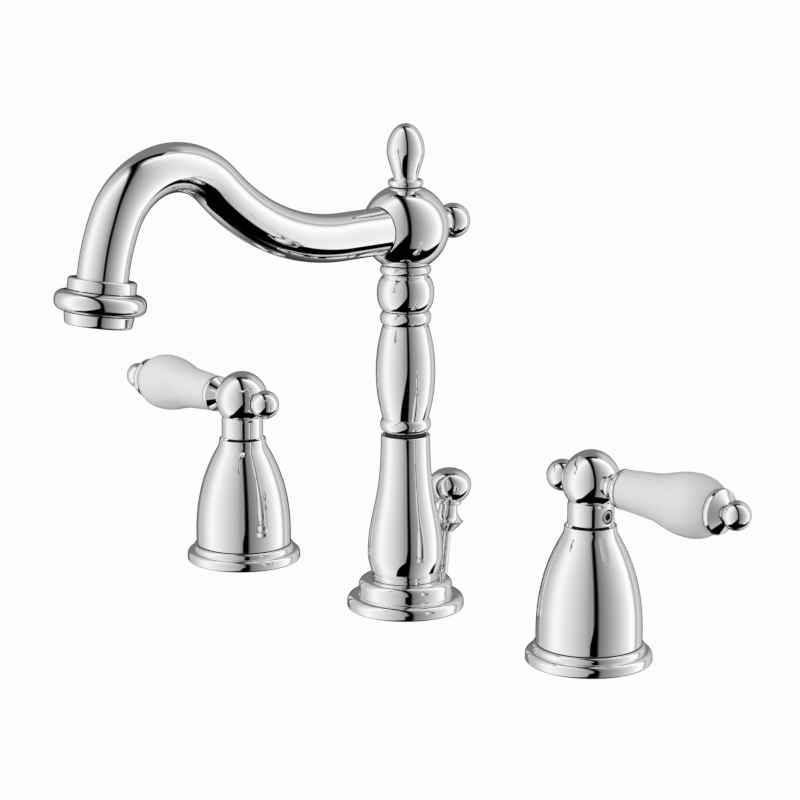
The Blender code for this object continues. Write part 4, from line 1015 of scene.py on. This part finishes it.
def make_grip(side, lever):
    start, end, belly_radius = grip_size(side)
    tip_radius, waist_radius, root_radius, root_step = 8.3 * MM, 8.8 * MM, 7.7 * MM, 0.5 * MM
    belly = (belly_radius, start + (end - start) * BELLY_SHARE)
    waist = (waist_radius, start + (end - start) * WAIST_SHARE)
    root = (root_radius, start + root_step)
    outline = [(CORE_HOLE, end)]
    outline += curve((tip_radius, end), belly, (0.55, 0.2), (0.0, 0.5), 36)
    outline += curve(belly, waist, (0.0, 0.42), (0.1, 0.3), 40)[1:]
    outline += curve(waist, root, (0.34, 0.34), (0.34, 0.34), 16)[1:]
    outline += eased([(*root, 0), (root_radius - 0.1 * MM, start, 0.4 * MM), (CORE_HOLE, start, 0)])
    grip = turned(side + "_grip", outline, PORCELAIN, lever)
    hand_over(grip, side + "_handle", [side + "_porcelain_grip"])


def make_ferrule(side, lever):
    """A cone that opens from a short neck to a rim round the porcelain's end."""
    neck, cone, rim, rim_end = 4.9 * MM, LEVER_SEAT + 1.4 * MM, LEVER_SEAT + 5.2 * MM, LEVER_SEAT + 6.9 * MM
    outline = [(CORE_HOLE, rim_end)]
    outline += eased([
        (7.2 * MM, rim_end, 0), (7.75 * MM, rim_end, 0.3 * MM), (7.8 * MM, rim + 0.8 * MM, 0.5 * MM),
        (7.7 * MM, rim, 0.3 * MM), (neck - 0.3 * MM, cone + 0.1 * MM, 0.2 * MM), (neck, cone, 0.1 * MM),
        (neck, LEVER_SEAT, 0),
    ])
    outline += [(CORE_HOLE, LEVER_SEAT)]
    plated(side + "_ferrule", outline, side + "_handle", [side + "_lever_ferrule"], lever)


def make_end_cap(side, lever):
    """A collar, a cone and the end ball in one."""
    start = grip_size(side)[1] + FIT
    band, cone, neck, radius = 2.6 * MM, 2.7 * MM, 4.1 * MM, 5.6 * MM
    neck_reach = start + band + cone
    centre = neck_reach + math.sqrt(radius**2 - neck**2)
    low = -math.degrees(math.acos(neck / radius))
    outline = arc((0, centre), (radius, radius), 90, low + 2, 44)
    outline[0] = (0, outline[0][1])
    outline += eased([
        (neck, neck_reach, 0), (8.55 * MM, start + band, 0.2 * MM), (8.8 * MM, start + 1.6 * MM, 0.5 * MM),
        (8.75 * MM, start + 1 * MM, 0.3 * MM), (8.25 * MM, start, 0.3 * MM), (7 * MM, start, 0),
    ])
    outline += [(0, start)]
    plated(side + "_end_cap", outline, side + "_handle", [side + "_lever_end_cap"], lever)


def make_rear_cap(side, lever):
    """The ball nut, which hides the core rod's end."""
    radius, reach = 6.2 * MM, 14.9 * MM
    flat = math.degrees(math.asin((reach - LEVER_SEAT) / radius))
    seat_radius = radius * math.cos(math.radians(flat))
    outline = arc((0, reach), (radius, radius), 90, 3 - flat, 44)
    outline[0] = (0, outline[0][1])
    outline += [(seat_radius, LEVER_SEAT + 0.15 * MM), (seat_radius, LEVER_SEAT), (0, LEVER_SEAT)]
    nodes = [side + "_rear_cap_nut", side + "_lever_rod"]
    plated(side + "_rear_cap", outline, side + "_handle", nodes, lever @ Matrix.Rotation(HALF_TURN, 4, "Y"))


# Handle stations: one at each side of the spout, each on its own hole in the deck. The left station is the
# right one turned half round.


def make_station(side, turn):
    low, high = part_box(side + "_bell")
    sideways = Matrix.Rotation(QUARTER, 4, "Y")
    place = Matrix.Translation(((low.x + high.x) / 2, 0, 0)) @ Matrix.Rotation(turn, 4, "Z")
    lever = place @ Matrix.Translation((0, 0, LEVER_HEIGHT)) @ sideways
    screw_place = place @ Matrix.Translation((0, 0, SCREW_HEIGHT)) @ sideways
    make_base(side, place)
    make_bell(side, place)
    make_handle_hub(side, place, lever, screw_place)
    make_set_screw(side, screw_place)
    make_grip(side, lever)
    make_ferrule(side, lever)
    make_end_cap(side, lever)
    make_rear_cap(side, lever)


make_station("left", HALF_TURN)
make_station("right", 0)

# What the deck and the shells hide: brass valve bodies, nuts and shanks with tool marks, steel washers and
# rods, black rubber and moulded nylon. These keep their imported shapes.

BRASS_COLOUR = (0.79, 0.61, 0.31)
BRASS_STAINED = (0.62, 0.45, 0.20)
# Painted shade: the valves' upper ends turn black between these two heights, to darken the gap between each
# bell and its handle hub.
GAP_SHADE_COLOUR = (0.01, 0.01, 0.01)
GAP_SHADE_START = 46 * MM
GAP_SHADE_END = 49 * MM
BELOW_DECK = -1 * MM


def make_brass():
    """Tool marks run round it, and the upper end of the valves is painted black: painted shade for the dark
    gap between each bell and its handle hub.
    """
    material, shader, place = start_material("machined_brass_look")
    stain = noise(shader, place, scale=55.0, detail=4.0)
    wave = shader.node("ShaderNodeTexWave", {"bands_direction": "Z"}, Vector=place, Scale=180.0)
    height = Term(shader, shader.node("ShaderNodeSeparateXYZ", Vector=place).outputs["Z"])
    # Painted shade: black above this height, with less metal and more roughness, stands in for the dark gap
    # under the handle hub.
    gap_shade = height.ramp(GAP_SHADE_START, GAP_SHADE_END)
    colour = shader.mix(gap_shade, shader.mix(stain, BRASS_COLOUR, BRASS_STAINED), GAP_SHADE_COLOUR)
    finish_material(
        shader, wave.outputs["Fac"], strength=0.2, depth=0.2 * MM, Base_Color=colour,
        Metallic=1.0 - gap_shade, Roughness=0.24 + 0.22 * stain + 0.3 * gap_shade,
    )
    return material


def make_moulded(name, colour, worn, roughness):
    material, shader, place = start_material(name)
    grain = noise(shader, place, scale=500.0, detail=3.0)
    finish_material(
        shader, grain, strength=0.25, depth=0.2 * MM, Base_Color=shader.mix(grain, colour, worn),
        Roughness=roughness + 0.12 * grain,
    )
    return material


def dress_hidden():
    looks = {
        "rough_brass": make_brass(),
        "plated_steel": STEEL,
        "black_rubber": make_moulded("black_rubber_look", (0.03, 0.03, 0.03), (0.055, 0.055, 0.055), 0.6),
        "white_nylon": make_moulded("white_nylon_look", (0.86, 0.86, 0.82), (0.78, 0.78, 0.74), 0.38),
        "polished_chrome": CHROME,
        "porcelain": PORCELAIN,
    }
    slots = {part["node"]: part["material_slot"] for part in frame["record"]["subparts"]}
    for name, node in frame["nodes"].items():
        for place in node.material_slots:
            place.material = looks[slots[name]]
        if ends_of(name)[0] < BELOW_DECK:
            node.visible_glossy = False


dress_hidden()
